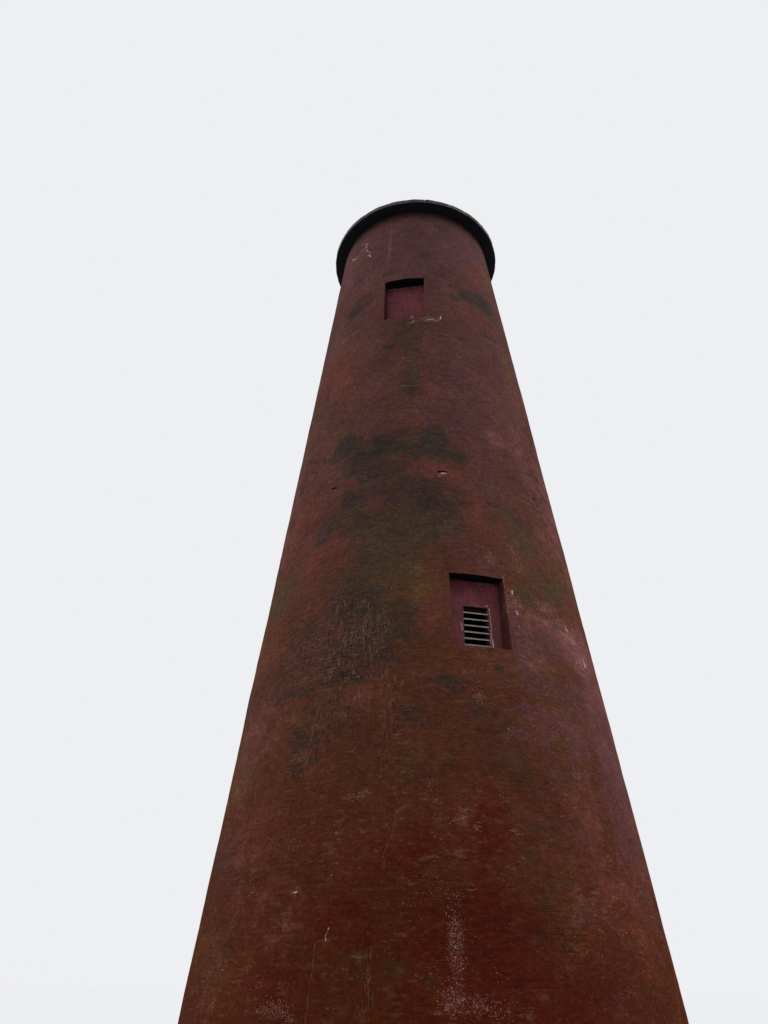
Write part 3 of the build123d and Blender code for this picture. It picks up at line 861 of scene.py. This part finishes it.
    # Pale flakes along the bricks' edges, specks of lime, and splashes
    flaky = ramp(cloud(place, 0.9, 5, None, 0.6), 0.42, 0.60, 0.25, 1.0)
    flaky = times(flaky, ramp(up, 4.0, 10.0, 0.55, 0.20))
    flakes = ramp(cloud(place, 6.5, 6, (1.0, 1.0, 3.2), 0.66), 0.60, 0.64)
    color = blend(times(flakes, flaky), color, srgb(112, 84, 68))
    scuffs = ramp(cloud(place, 2.6, 8, (1.0, 1.0, 2.2), 0.72), 0.56, 0.65)
    color = blend(times(scuffs, flaky), color, srgb(98, 72, 52))
    rare = ramp(cloud(place, 1.6, 4), 0.52, 0.72, 0.0, 0.05)
    often = plus(times(marked(place, "flecks"), 0.75), rare)
    squat = vector("MULTIPLY", place, (1.0, 1.0, 1.7))[0]
    seldom = times(often, 0.24)
    coarse = use(specks, Place=squat, Density=seldom, Scale=20.0, Size=0.018)["Mask"]
    fine = use(specks, Place=place, Density=often, Scale=80.0, Size=0.006)["Mask"]
    dusted = ramp(cloud(place, 70.0, 3, None, 0.8), 0.54, 0.62, 0.0, 0.40)
    lime = most(times(coarse, ramp(weave, 0.8, 1.1)), fine)
    lime = most(lime, times(dusted, ramp(marked(place, "flecks"), 0.3, 0.95)))
    color = blend(times(lime, 0.74), color, srgb(190, 150, 138))
    splashes = lines_on_wall(spot, lime_splashes, low, high)
    splashes = times(splashes, ramp(weave, 0.86, 1.02, 0.15, 0.95))
    color = blend(splashes, color, srgb(206, 182, 176))
    lime = most(lime, splashes)
    pits = use(specks, Place=place, Density=0.10, Scale=17.0, Size=0.010)["Mask"]
    color = blend(times(pits, 0.55), color, srgb(26, 19, 18))
    cracked = lines_on_wall(spot, wall_cracks, low, high)
    color = blend(times(cracked, 0.7), color, srgb(104, 74, 58))

    # Painted shade: undersides of lintels and other faces that look down, and a band under the deck's
    # overhang, are darkened nearly to black
    soffit_shade = ramp(upward(place), -0.85, -0.45, 0.97, 0.0)
    deck_shadow_band = ramp(plus(up, times(grain, 0.5)), 19.55, 20.1, 0.0, 0.75)
    color = blend(most(soffit_shade, deck_shadow_band), color, srgb(15, 12, 14))
    height = plus(times(grain, 0.5), times(weave, 0.9))
    height = less(height, times(in_joint, 0.45))
    height = plus(height, times(lime, 0.12))
    height = less(height, times(most(cracked, pits), 0.6))
    feed(shader, color, height, 0.018)
    return material


def bare_brick_finish(name, mapped):
    """Bare brick in lime mortar with thin old whitening, coursed upward on a wall or in rings on a vault."""
    material, shader, place = new_finish(name, 0.92)
    tower = use(tower_coordinates, Place=place)
    rise = tower["Up"] if mapped == "wall" else tower["Out"]
    bricks = use(bond, Along=tower["Along"], Up=rise, Length=brick_length, Course=course, Joint=0.011)
    color = blend(bricks["Tone"], srgb(112, 66, 52), srgb(146, 92, 70))
    color = blend(bricks["Joint"], color, srgb(150, 140, 124))
    white = patches(place, 0.45, 1.7, 0.3)
    color = blend(times(white, 0.7), color, srgb(168, 160, 148))
    color = use(weathering, Place=place, Color=color, Scale=1.0, Contrast=0.3)
    height = less(color["Height"], times(bricks["Joint"], 0.8))
    feed(shader, color["Color"], height, 0.006)
    return material


def add_field(piece, name, values):
    """Stores a value for each point, which the material reads by its name."""
    field = piece.data.attributes.new(name, "FLOAT", "POINT")
    field.data.foreach_set("value", np.asarray(values, np.float32))


def build_lift(name, starts, carries_floor, cutters):
    """One lift of the wall as a single skinned mesh in place of its CAD segments."""
    members = [node for node in wall_points if node.startswith(starts)]
    heights = np.concatenate([wall_points[node][:, 2] for node in members])
    low, high = round(heights.min() / course) * course, round(heights.max() / course) * course
    points, faces = lift_mesh(low, high, carries_floor)
    limewash = limewash_finish(f"red_limewash_on_{name}", low, high)
    lift = make_piece(name, points, faces, limewash, members)
    cut_away(lift, cutters)
    lift.data.materials.append(inner_brick)
    place = piece_points(lift)
    azimuth = np.degrees(np.arctan2(place[:, 0], -place[:, 1]))
    radius, height = np.hypot(place[:, 0], place[:, 1]), place[:, 2]
    fields = {kind: mark_field(kind, azimuth, height) for kind in wall_marks}
    fields["reveal"] = np.clip((outer_radius(height) - radius - 0.03) / 0.05, 0, 1)
    for kind, field in fields.items():
        add_field(lift, kind, field)
    inside = radius < inner_radius(height) + 0.01
    lined = [all(inside[vertex] for vertex in face.vertices) for face in lift.data.polygons]
    lift.data.polygons.foreach_set("material_index", [int(inner) for inner in lined])


inner_brick = bare_brick_finish("inner_brick", "wall")
door_azimuth, door_low, door_high = facing("door_frame")
door_width = door_high[0] - door_low[0]
doorway = opening_cutter(door_azimuth, door_width, -0.1, door_high[2], head_radius, foot_radius + 0.3, 11)

# Shallow putlog slots, where the scaffold's bearers went in. The second is wider
slot_top = 146 * course
slot_foot = slot_top - 0.045
face = outer_radius(slot_top)
putlogs = []
for number, azimuth in enumerate((-34.7, 8.4, 50, 95, 139, 183, 228, 272)):
    width = 0.19 if number == 1 else 0.11
    putlogs.append(opening_cutter(azimuth, width, slot_foot, slot_top, face - 0.11, face + 0.1, 20 + number))
build_lift("ground_lift", ("ground_wall", "wall_"), True, [doorway])
window_azimuths = {}
window_cutters = {"lower": [], "upper": []}
for storey, seed in (("lower", 12), ("upper", 14)):
    back = facing(f"{storey}_back_panel")[0]
    for side, azimuth in (("front", back - 180), ("back", back)):
        panel = f"{storey}_{side}_panel"
        window_azimuths[panel] = azimuth
        window_cutters[storey].append(through_window(panel, azimuth, seed + (side == "back")))
build_lift("middle_lift", "middle_wall", True, window_cutters["lower"] + putlogs)
build_lift("upper_lift", "upper_wall", False, window_cutters["upper"])

# Timber floors of the middle and upper storey.
# Heavy sawn joists lie on the wall's ledge, and broad softwood boards are nailed across them.
# The boards stop short of the wall and leave a hatch for a stair.


def wood_grain_group():
    """Fibres of sawn wood. Stretch squeezes them across the grain."""
    group, given, made = shader_group(
        "wood_grain",
        {"Place": "Vector", "Stretch": "Vector", "Pale": "Color", "Dark": "Color"},
        {"Color": "Color", "Height": "Float"},
    )
    place = vector("MULTIPLY", given["Place"], given["Stretch"])[0]
    fibre = cloud(place, 6.0, 6)
    band = cloud(place, 1.3, 3)
    tone = plus(times(fibre, 0.65), times(band, 0.35))
    tone = ramp(tone, 0.36, 0.64)
    group.links.new(blend(tone, given["Dark"], given["Pale"]), made["Color"])
    group.links.new(tone, made["Height"])
    return group


wood_grain = wood_grain_group()


def timber_finish(name, stretch, pale, dark, worn_to=None):
    """Old wood, bare and greying, or with paint that has worn off along the grain."""
    material, shader, place = new_finish(name, 0.8)
    grain = use(wood_grain, Place=place, Stretch=stretch, Pale=pale, Dark=dark)
    color = use(weathering, Place=place, Color=grain["Color"], Scale=1.3, Contrast=0.3)
    seen = color["Color"]
    if worn_to:
        bare = patches(place, 0.22, 7.0, 0.12)
        bare = times(bare, ramp(grain["Height"], 0.3, 0.7))
        seen = blend(bare, seen, worn_to)
    feed(shader, seen, grain["Height"], 0.002)
    return material


def joined(blocks):
    """Several blocks as one list of points and one of faces."""
    points, faces, count = [], [], 0
    for block_points, block_faces in blocks:
        points.append(block_points)
        faces += [[vertex + count for vertex in face] for face in block_faces]
        count += len(block_points)
    return np.concatenate(points), faces


joist_wood = timber_finish("joist_wood", (9, 0.5, 9), srgb(128, 104, 80), srgb(86, 68, 52))
board_wood = timber_finish("board_wood", (0.5, 9, 9), srgb(142, 120, 94), srgb(98, 80, 62))
board_width = 0.205
board_slit = 0.004
for storey in ("middle", "upper"):
    dress(f"{storey}_floor_joists", joist_wood, 0.006)
    boards = f"{storey}_floor_boards"
    disc = node_points(boards)
    board_foot, board_top = disc[:, 2].min(), disc[:, 2].max()
    from_axis = np.hypot(disc[:, 0], disc[:, 1])
    floor_radius = from_axis.max()
    hatch = disc[from_axis < floor_radius - 0.02]
    hatch_low, hatch_high = hatch.min(0), hatch.max(0)
    planks = []
    rows = math.ceil(2 * floor_radius / board_width)
    for row in range(rows):
        low_y = -floor_radius + 2 * floor_radius * row / rows + board_slit / 2
        high_y = -floor_radius + 2 * floor_radius * (row + 1) / rows - board_slit / 2
        reach = floor_radius**2 - max(abs(low_y), abs(high_y)) ** 2
        if reach < 0.04:
            continue
        reach = math.sqrt(reach)
        spans = [(-reach, reach)]
        if high_y > hatch_low[1] and low_y < hatch_high[1]:
            spans = [(-reach, hatch_low[0]), (hatch_high[0], reach)]
        for start, end in spans:
            low, high = (start, low_y, board_foot), (end, high_y, board_top)
            points, faces = grid_block(low, high, (0.3, 0.1, 0.05), 0.003)
            planks.append((worn(points, 0.002, 0.5, 30 + row), faces))
    points, faces = joined(planks)
    make_piece(f"{storey}_floor_planks", points, faces, board_wood, [boards])

# Blocked windows, two at the front and their twins at the back.
# Each opening is closed by thin brickwork, plastered smooth by hand and washed a rosier red.
# Rain has drawn the wash down in faint runs, and lime blooms along the head.


def panel_finish():
    """Rose-red wash on smooth plaster, with lime bloom where the vertex mark asks for it, and painted shade
    where the edge mark asks for it.
    """
    material, shader, place = new_finish("rose_panel_wash", 0.9)
    shader.inputs["Specular IOR Level"].default_value = 0.3
    rosy = ramp(cloud(place, 2.2, 4), 0.35, 0.65)
    color = blend(rosy, srgb(102, 44, 56), srgb(88, 42, 47))
    runs = ramp(cloud(place, 1.0, 5, (22.0, 22.0, 1.6), 0.6), 0.3, 0.7, 0.86, 1.14)
    strokes = ramp(cloud(place, 1.0, 5, (3.5, 3.5, 28.0), 0.6), 0.3, 0.7, 0.74, 1.26)
    color = blend(1.0, color, times(runs, strokes), "MULTIPLY")
    color = use(weathering, Place=place, Color=color, Scale=2.5, Contrast=0.25)
    brown = patches(place, marked(place, "washed"), 5.0, 0.3)
    seen = blend(times(brown, 0.78), color["Color"], srgb(93, 51, 47))
    bloom = marked(place, "bloom")
    spots = use(specks, Place=place, Density=times(bloom, 0.5), Scale=30.0, Size=0.013)["Mask"]
    lime = patches(place, times(bloom, 0.55), 26.0, 0.12)
    lime = most(spots, times(lime, 0.5))
    seen = blend(times(lime, 0.85), seen, srgb(176, 146, 142))
    # Painted shade from the edge mark: darker along the panel's sides and head, where it sits back in its
    # recess, and evenly over the upper panels
    seen = blend(times(marked(place, "edge"), 0.55), seen, srgb(48, 20, 22))
    feed(shader, seen, color["Height"], 0.005)
    return material


rose_wash = panel_finish()
vent_flange = 0.014
vent_azimuth, vent_low, vent_high = facing("vent_frame", window_azimuths["lower_front_panel"])
panel_nodes = ("lower_front_panel", "upper_front_panel", "lower_back_panel", "upper_back_panel")
for number, node in enumerate(panel_nodes):
    azimuth, low, high = facing(node, window_azimuths[node])
    points, faces = grid_block(low, high, (0.03, 0.1, 0.03), 0.004)
    points = worn(worn(points, 0.004, 0.3, 50 + number), 0.0015, 0.06, 60 + number)
    points[:, 1] = np.maximum(points[:, 1], low[1] - 0.004)
    plaster = node.replace("panel", "plaster")
    panel = make_piece(plaster, turned(points, azimuth), faces, rose_wash, [node])
    if node == "lower_front_panel":
        notch_low = (vent_low[0] + vent_flange, low[1] - 0.1, low[2] - 0.1)
        notch_high = (vent_high[0] - vent_flange, high[1] + 0.1, vent_high[2] - vent_flange)
        notch_points, notch_faces = grid_block(notch_low, notch_high, 0.1, 0.002)
        cut_away(panel, [(turned(notch_points, vent_azimuth), notch_faces)])
    local = turned(piece_points(panel), -azimuth)
    below_head = high[2] - local[:, 2]
    from_side = np.minimum(local[:, 0] - low[0], high[0] - local[:, 0])
    left = local[:, 0] - low[0]
    bloom = np.clip(1.6 - below_head / 0.07, 0, 1) * 0.9
    if "lower" in node:
        bloom *= np.clip((left - 0.45) / 0.2, 0, 1)
    bloom = np.maximum(bloom, np.clip(1.5 - left / 0.03, 0, 1) * (below_head < 0.5) * 0.8)
    from_stain = (local[:, 0] - 0.12) ** 2 / 0.03 + (below_head - 0.28) ** 2 / 0.008
    add_field(panel, "bloom", np.maximum(bloom, 0.35 * np.exp(-from_stain)))
    beside_vent = np.clip((left - 0.62) / 0.2, 0, 1) * np.clip((below_head - 0.45) / 0.2, 0, 1)
    near_sill = np.clip(1.2 - (local[:, 2] - low[2]) / 0.3, 0, 1)
    washed, painted_shade = (0.75 * beside_vent, 0.0) if "lower" in node else (0.45 * near_sill, 0.22)
    add_field(panel, "washed", 0.12 + washed)
    # Edge mark for painted shade: a band along each panel's sides and head, on top of an even share over the
    # upper panels
    edge = np.clip(1 - from_side / 0.07, 0, 1) * 0.7 + np.clip(1 - below_head / 0.1, 0, 1) * 0.4
    add_field(panel, "edge", painted_shade + edge)

# Louvred vent in the lower front window.
# A pressed sheet-metal frame and blades, painted off-white long ago, now chalky and streaked.
# It is screwed to the panel through its flange and was sealed round with a rough pale bead.


def paint_finish(name, wash):
    """Chalky off-white paint on sheet metal, rusted at the chips and covered in part by the wall's wash, with
    painted shade on its undersides.
    """
    material, shader, place = new_finish(name, 0.7)
    shader.inputs["Specular IOR Level"].default_value = 0.12
    color = use(weathering, Place=place, Color=srgb(140, 136, 132), Scale=6.0, Contrast=0.3)
    runs = cloud(place, 1.0, 4, (40.0, 40.0, 3.0))
    seen = blend(ramp(runs, 0.45, 0.75, 0.0, 0.6), color["Color"], srgb(84, 74, 68))
    washed = patches(place, wash, 9.0, 0.14)
    seen = blend(washed, seen, srgb(84, 50, 51))
    rust = patches(place, 0.16, 22.0, 0.06)
    seen = blend(rust, seen, srgb(96, 58, 40))
    # Painted shade: faces that look down, such as the blades' undersides, are darkened nearly to black
    painted_shade = ramp(upward(place), -0.7, -0.3, 0.92, 0.0)
    seen = blend(painted_shade, seen, srgb(24, 20, 20))
    feed(
        shader, seen, less(color["Height"], times(rust, 0.5)), 0.001,
        Roughness=ramp(rust, 0.0, 1.0, 0.55, 0.9),
    )
    return material


def bead(path, radius, seed):
    """Closed uneven string of sealant along a path, as points and faces."""
    path, sides = np.array(path, float), 8
    lengths = np.linalg.norm(np.diff(path, axis=0), axis=1)
    distance = np.concatenate([[0], np.cumsum(lengths)])
    steps = np.linspace(0, distance[-1], max(4, round(distance[-1] / 0.012)))
    line = np.stack([np.interp(steps, distance, path[:, axis]) for axis in range(3)], 1)
    swell = np.random.default_rng(seed).uniform(0.6, 1.35, len(line)) * radius
    swell = np.convolve(np.pad(swell, 1, "edge"), (0.25, 0.5, 0.25), "valid")
    swell[0] = swell[-1] = radius * 0.35
    run = np.gradient(line, axis=0)
    run /= np.linalg.norm(run, axis=1, keepdims=True)
    side = np.cross(run, (0.0, 1.0, 0.0))
    side /= np.linalg.norm(side, axis=1, keepdims=True)
    out = np.cross(side, run)
    points = []
    for angle in np.arange(sides) * 2 * math.pi / sides:
        points.append(line + swell[:, None] * (side * math.cos(angle) + 0.7 * out * math.sin(angle)))
    points = np.stack(points, 1).reshape(-1, 3)
    faces = tube_faces(len(line), sides)
    faces.append(list(range(sides))[::-1])
    faces.append([(len(line) - 1) * sides + corner for corner in range(sides)])
    return points, faces


def dome(centre, radius, depth):
    """Domed head of a screw or nail that stands out towards the front, as points and faces."""
    points, sides, rings = [], 10, 3
    for ring in range(rings):
        slope = ring / rings * math.pi / 2
        across, out = radius * math.cos(slope), -depth * math.sin(slope)
        for corner in range(sides):
            angle = corner * 2 * math.pi / sides
            points.append((across * math.cos(angle), out, across * math.sin(angle)))
    points.append((0, -depth, 0))
    points.append((0, 0.3 * depth, 0))
    faces = tube_faces(rings, sides)
    for corner in range(sides):
        beside = (corner + 1) % sides
        faces.append([(rings - 1) * sides + corner, (rings - 1) * sides + beside, rings * sides])
        faces.append([beside, corner, rings * sides + 1])
    return np.array(points) + np.array(centre), faces


washed_paint = paint_finish("overwashed_paint", 0.85)
dress("vent_frame", washed_paint)
dress("vent_blades", paint_finish("chalky_paint", 0.12))
flange_front = vent_low[1]
mid_flange = vent_flange / 2
heads = []
for height in np.linspace(vent_low[2] + 0.08, vent_high[2] - 0.06, 4):
    for side in (vent_low[0] + mid_flange, vent_high[0] - mid_flange):
        heads.append(dome((side, flange_front, height), 0.0045, 0.0025))
points, faces = joined(heads)
make_piece("vent_screws", turned(points, vent_azimuth), faces, washed_paint)

panel_front = facing("lower_front_panel", vent_azimuth)[1][1]
left, right = vent_low[0], vent_high[0]
foot = vent_low[2]
outer_bead = (
    (-6, 951), (4, 840), (8, 729), (15, 581), (19, 525), (12, 451), (9, 396), (18, 303), (30, 211), (34, 100),
)
inner_bead = ((4, 470), (-12, 396), (-14, 303), (-14, 201), (-14, 100))
head_bead = ((-70, 985), (-45, 992), (-20, 985))
left_bead = ((-34, 618), (-22, 570), (-10, 520), (-4, 440))
foot_bead = ((20, 350), (27, 290), (31, 220), (36, 110))
seals = []
for number, (edge, radius, run) in enumerate((
    (right, 0.009, outer_bead), (right, 0.0075, inner_bead), (right, 0.016, head_bead),
    (left, 0.007, left_bead), (right, 0.012, foot_bead),
)):
    path = [(edge + across / 1000, panel_front, foot + above / 1000) for across, above in run]
    seals.append(bead(path, radius, 70 + number))
seal_points, seal_faces = joined(seals)
seal_lime = stone_finish("pale_sealant", srgb(174, 158, 154), srgb(136, 118, 115), srgb(194, 182, 178), 0.3)
make_piece("vent_sealant", turned(seal_points, vent_azimuth), seal_faces, seal_lime)

# Plank door on the side away from the viewer.
# Upright boards on two ledgers, in a pegged frame, painted dark and weathered along the grain.
# Long iron straps on pintles carry it, clenched nails hold the boards, and a ring pulls it shut.

door_paint = timber_finish("door_paint", (8, 8, 0.5), srgb(72, 52, 42), srgb(46, 33, 28), srgb(112, 98, 84))
leaf_azimuth, leaf_low, leaf_high = facing("door_leaf")
leaf_points = turned(node_points("door_leaf"), -leaf_azimuth)
leaf_back = leaf_low[1] + 0.045
behind = leaf_points[leaf_points[:, 1] > leaf_back + 0.01]
ledger_levels = np.unique(behind[:, 2].round(4))
plank_count, plank_slit = 6, 0.002
door_parts = []
plank_width = (leaf_high[0] - leaf_low[0]) / plank_count
for number in range(plank_count):
    start = leaf_low[0] + number * plank_width + plank_slit / 2
    end = start + plank_width - plank_slit
    low, high = (start, leaf_low[1], leaf_low[2]), (end, leaf_back, leaf_high[2])
    points, faces = grid_block(low, high, (0.05, 0.05, 0.12), 0.005)
    door_parts.append((worn(points, 0.0015, 0.4, 80 + number), faces))
ledgers = list(zip(ledger_levels[::2], ledger_levels[1::2]))
for low_level, high_level in ledgers:
    low, high = (behind[:, 0].min(), leaf_back, low_level), (behind[:, 0].max(), leaf_high[1], high_level)
    door_parts.append(grid_block(low, high, 0.15, 0.004))
points, faces = joined(door_parts)
make_piece("door_planks", turned(points, leaf_azimuth), faces, door_paint, ["door_leaf"])
dress("door_frame", door_paint, 0.006)


def iron_finish():
    """Wrought iron, its black paint rusting through."""
    material, shader, place = new_finish("rusted_iron", 0.7)
    color = use(weathering, Place=place, Color=srgb(58, 52, 49), Scale=8.0, Contrast=0.3)
    rust = patches(place, 0.42, 16.0, 0.15)
    rusty = blend(cloud(place, 60.0, 3), srgb(84, 48, 32), srgb(118, 70, 42))
    feed(
        shader, blend(rust, color["Color"], rusty), plus(color["Height"], rust), 0.0015,
        Roughness=ramp(rust, 0.0, 1.0, 0.5, 0.92), Metallic=ramp(rust, 0.0, 1.0, 0.6, 0.0),
    )
    return material


rusted_iron = iron_finish()
dress("door_hinges", rusted_iron, 0.002)
nails = []
for low_level, high_level in ledgers:
    for number in range(plank_count):
        centre = leaf_low[0] + (number + 0.5) * plank_width
        for side, level in ((-0.035, low_level + 0.025), (0.035, high_level - 0.025)):
            nails.append(dome((centre + side, leaf_low[1], level), 0.009, 0.005))
points, faces = joined(nails)
make_piece("door_nails", turned(points, leaf_azimuth), faces, rusted_iron)

ring_height = leaf_low[2] + 0.95
ring_side = leaf_high[0] - 0.075
ring_radius, ring_iron = 0.048, 0.0055
turns, sides = 40, 10
leaf_front = leaf_low[1]
ring_points = []
for step in range(turns):
    sweep = step * 2 * math.pi / turns
    for corner in range(sides):
        angle = corner * 2 * math.pi / sides
        reach = ring_radius + ring_iron * math.cos(angle)
        ring_points.append((
            ring_side + reach * math.sin(sweep), leaf_front - 0.012 + ring_iron * math.sin(angle),
            ring_height - ring_radius - reach * math.cos(sweep),
        ))
ring_faces = [face[::-1] for face in tube_faces(turns, sides, closed=True)]
plate_low = (ring_side - 0.03, leaf_front - 0.004, ring_height - 0.06)
plate_high = (ring_side + 0.03, leaf_front + 0.001, ring_height + 0.06)
staple_path = []
for out, rise in ((-0.002, 0.012), (0.02, 0.004), (0.02, -0.004), (-0.002, -0.012)):
    staple_path.append((ring_side, leaf_front - out, ring_height + rise))
points, faces = joined([
    (np.array(ring_points), ring_faces),
    grid_block(plate_low, plate_high, 0.03, 0.0015),
    bead(staple_path, 0.004, 5),
])
make_piece("door_pull", turned(points, leaf_azimuth), faces, rusted_iron)

# Crown: the shallow brick vault over the upper storey.
# It springs from the head of the wall and carries the deck, and a square shaft leads up through it.
# Its bricks are laid in rings in lime mortar and were whitened once.

dress("crown_vault", bare_brick_finish("vault_brick", "vault"))

# Deck of eight thin stone slabs over vault and wall, which oversails the wall all round.
# Their edges are chipped and mossy, and their undersides are painted near black as shade.


def deck_finish():
    """Dark slab stone, grey and mossy above and on the edge, with painted shade that makes it nearly black
    below.
    """
    material, shader, place = new_finish("deck_slab", 0.9)
    shader.inputs["Specular IOR Level"].default_value = 0.15
    body = use(weathering, Place=place, Color=srgb(74, 74, 72), Scale=2.0, Contrast=0.45)
    damp = patches(place, 0.5, 2.2, 0.3)
    color = blend(damp, body["Color"], srgb(48, 48, 46))
    moss = patches(place, 0.36, 6.0, 0.12)
    color = blend(times(moss, 0.85), color, srgb(62, 66, 42))
    lichen = patches(place, 0.12, 18.0, 0.05)
    color = blend(lichen, color, srgb(134, 134, 122))
    # Painted shade: faces that look down are darkened nearly to black
    underside_shade = ramp(upward(place), -0.6, -0.1, 1.0, 0.0)
    color = blend(times(underside_shade, 0.97), color, srgb(13, 13, 19))
    feed(shader, color, plus(body["Height"], times(moss, 0.6)), 0.008)
    return material


deck_slab = deck_finish()
slab_joint = 0.006
# Chips in the rim as azimuth, half width in degrees, and depth in metres
rim_notches = (
    (-35, 1.2, 0.02), (-17, 0.8, 0.016), (-8, 1.5, 0.014), (7, 0.5, 0.02), (36, 1.0, 0.018),
    (118, 1.4, 0.02), (204, 1.1, 0.018),
)
slabs = sorted(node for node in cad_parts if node.startswith("deck_stone"))
slab_points = {node: node_points(node) for node in slabs}
deck_radius = max(np.hypot(points[:, 0], points[:, 1]).max() for points in slab_points.values())
half_slab = math.radians(180 / len(slabs))
opening_azimuth, opening_low, opening_high = facing("scuttle_curb")
curb_width, past_slab = 0.06, 1
inwards = np.array([curb_width, curb_width, -past_slab])
scuttle_points, scuttle_faces = grid_block(opening_low + inwards, opening_high - inwards, 0.2, 0.002)
for number, node in enumerate(slabs):
    shape = slab_points[node]
    rim = shape[np.hypot(shape[:, 0], shape[:, 1]) > deck_radius - 0.002]
    middle = math.degrees(math.atan2(rim[:, 0].sum(), -rim[:, 1].sum()))
    half_width = half_slab * deck_radius
    low, high = (-half_width, 0.01, shape[:, 2].min()), (half_width, deck_radius, shape[:, 2].max())
    points, faces = grid_block(low, high, (0.045, 0.13, 0.03), 0.012)
    share, radius, level = points[:, 0] / half_width, points[:, 1], points[:, 2]
    half_angle = half_slab - np.minimum(slab_joint / 2 / radius, half_slab * 0.6)
    azimuth = math.radians(middle) + share * half_angle
    degrees = np.degrees(azimuth)
    at_rim = np.clip((radius - deck_radius + 0.06) / 0.05, 0, 1)
    chipped = 0.007 * (1 + soft_noise(degrees, level * 0, 70, 1, 8))
    chipped += 0.004 * (1 + soft_noise(degrees, level * 40, 200, 40, 9))
    for centre, half_span, depth in rim_notches:
        away = np.abs((degrees - centre + 180) % 360 - 180)
        chipped = np.maximum(chipped, depth * np.clip(2 - away / half_span, 0, 1))
    radius = radius - at_rim * chipped
    points = np.stack([radius * np.sin(azimuth), -radius * np.cos(azimuth), level], 1)
    points[:, 2] += 0.003 * soft_noise(degrees, radius * 6, 30, 18, 10) * (level > level.mean())
    slab = make_piece(node.replace("stone", "slab"), points, faces, deck_slab, [node])
    if abs((middle - opening_azimuth + 180) % 360 - 180) < 60:
        cut_away(slab, [(turned(scuttle_points, opening_azimuth), scuttle_faces)])

# Scuttle in the deck, where the way up to the lantern was.
# A low curb stands round it, and a shallow lid of sheet copper, gone dull brown and green, caps it.


def copper_finish():
    """Old sheet copper, brown with green where water stands and runs."""
    material, shader, place = new_finish("old_copper", 0.6)
    color = use(weathering, Place=place, Color=srgb(104, 82, 64), Scale=4.0, Contrast=0.35)
    green = patches(place, 0.5, 5.0, 0.2)
    verdigris = blend(cloud(place, 30.0, 3), srgb(96, 126, 108), srgb(124, 150, 130))
    feed(
        shader, blend(green, color["Color"], verdigris), color["Height"], 0.003,
        Roughness=ramp(green, 0.0, 1.0, 0.42, 0.85), Metallic=ramp(green, 0.0, 1.0, 0.85, 0.1),
    )
    return material


dress("scuttle_curb", deck_slab, 0.008)
dress("scuttle_cover", copper_finish(), 0.005)

# Studio: the photograph's standpoint, at eye level in front of the tower and looking up it,
# an even pale floor, and soft light that comes mostly from both sides and behind.

scene = bpy.context.scene
scene.view_settings.view_transform = "Standard"
eye = Vector((0.0, -16.40, 1.60))
pitch, yaw, roll = math.radians(30.96), math.radians(3.06), math.radians(0.44)
focal_pixels, image_height, sensor = 790, 1024, 36.0
camera = bpy.data.objects.new("camera", bpy.data.cameras.new("camera"))
scene.collection.objects.link(camera)
camera.data.sensor_width = sensor
camera.data.lens = focal_pixels / image_height * sensor
camera.data.clip_end = 500
looking = Matrix.Rotation(yaw, 4, "Z") @ Matrix.Rotation(math.pi / 2 + pitch, 4, "X")
camera.matrix_world = Matrix.Translation(eye) @ looking @ Matrix.Rotation(roll, 4, "Z")
scene.camera = camera

pale = srgb(238, 239, 242)
sky_level = 0.72
# Lamps as name, azimuth, elevation, strength, and spread in degrees
lamps = (
    ("front_fill", -25, 35, 1.0, 70), ("left_softbox", -112, 40, 2.7, 50),
    ("right_softbox", 100, 35, 3.3, 50),
)
floor_level = sky_level
for _, _, elevation, strength, _ in lamps:
    floor_level += strength * math.sin(math.radians(elevation)) / math.pi


def seen_directly(tree):
    """1 for rays that show the surroundings themselves, also in metal and glass."""
    path = put("LightPath", {}, tree)
    mirrored = most(path["Is Glossy Ray"], path["Is Transmission Ray"])
    return most(path["Is Camera Ray"], mirrored)


world = bpy.data.worlds.new("studio")
scene.world = world
world.use_nodes = True
sky = world.node_tree
light = sky.nodes["Background"]
light.inputs["Color"].default_value = (0.97, 0.98, 1.0, 1.0)
light.inputs["Strength"].default_value = sky_level
shown = put("Background", {"Color": pale, "Strength": 1.0}, sky)[0]
choice = put("MixShader", {0: seen_directly(sky), 1: light.outputs[0], 2: shown})[0]
sky.links.new(choice, sky.nodes["World Output"].inputs[0])

floor_mesh = bpy.data.meshes.new("studio_floor")
floor_shape = bmesh.new()
bmesh.ops.create_circle(floor_shape, cap_ends=True, segments=96, radius=220)
floor_shape.to_mesh(floor_mesh)
floor_shape.free()
floor = bpy.data.objects.new("studio_floor", floor_mesh)
floor.location.z = -0.002
scene.collection.objects.link(floor)
floor_paint = bpy.data.materials.new("studio_floor")
floor_paint.use_nodes = True
paint = floor_paint.node_tree
paint.nodes.remove(paint.nodes["Principled BSDF"])
evened = tuple(part / floor_level for part in pale[:3]) + (1.0,)
shown = put("BsdfDiffuse", {"Color": evened}, paint)[0]
bounced = put("BsdfDiffuse", {"Color": (0.16, 0.16, 0.16, 1)}, paint)[0]
choice = put("MixShader", {0: seen_directly(paint), 1: bounced, 2: shown})[0]
paint.links.new(choice, paint.nodes["Material Output"].inputs[0])
floor_mesh.materials.append(floor_paint)

for name, azimuth, elevation, strength, spread in lamps:
    lamp = bpy.data.objects.new(name, bpy.data.lights.new(name, "SUN"))
    lamp.data.energy = strength
    lamp.data.angle = math.radians(spread)
    sideways = Matrix.Rotation(math.radians(azimuth), 4, "Z")
    lamp.matrix_world = sideways @ Matrix.Rotation(math.radians(90 - elevation), 4, "X")
    scene.collection.objects.link(lamp)
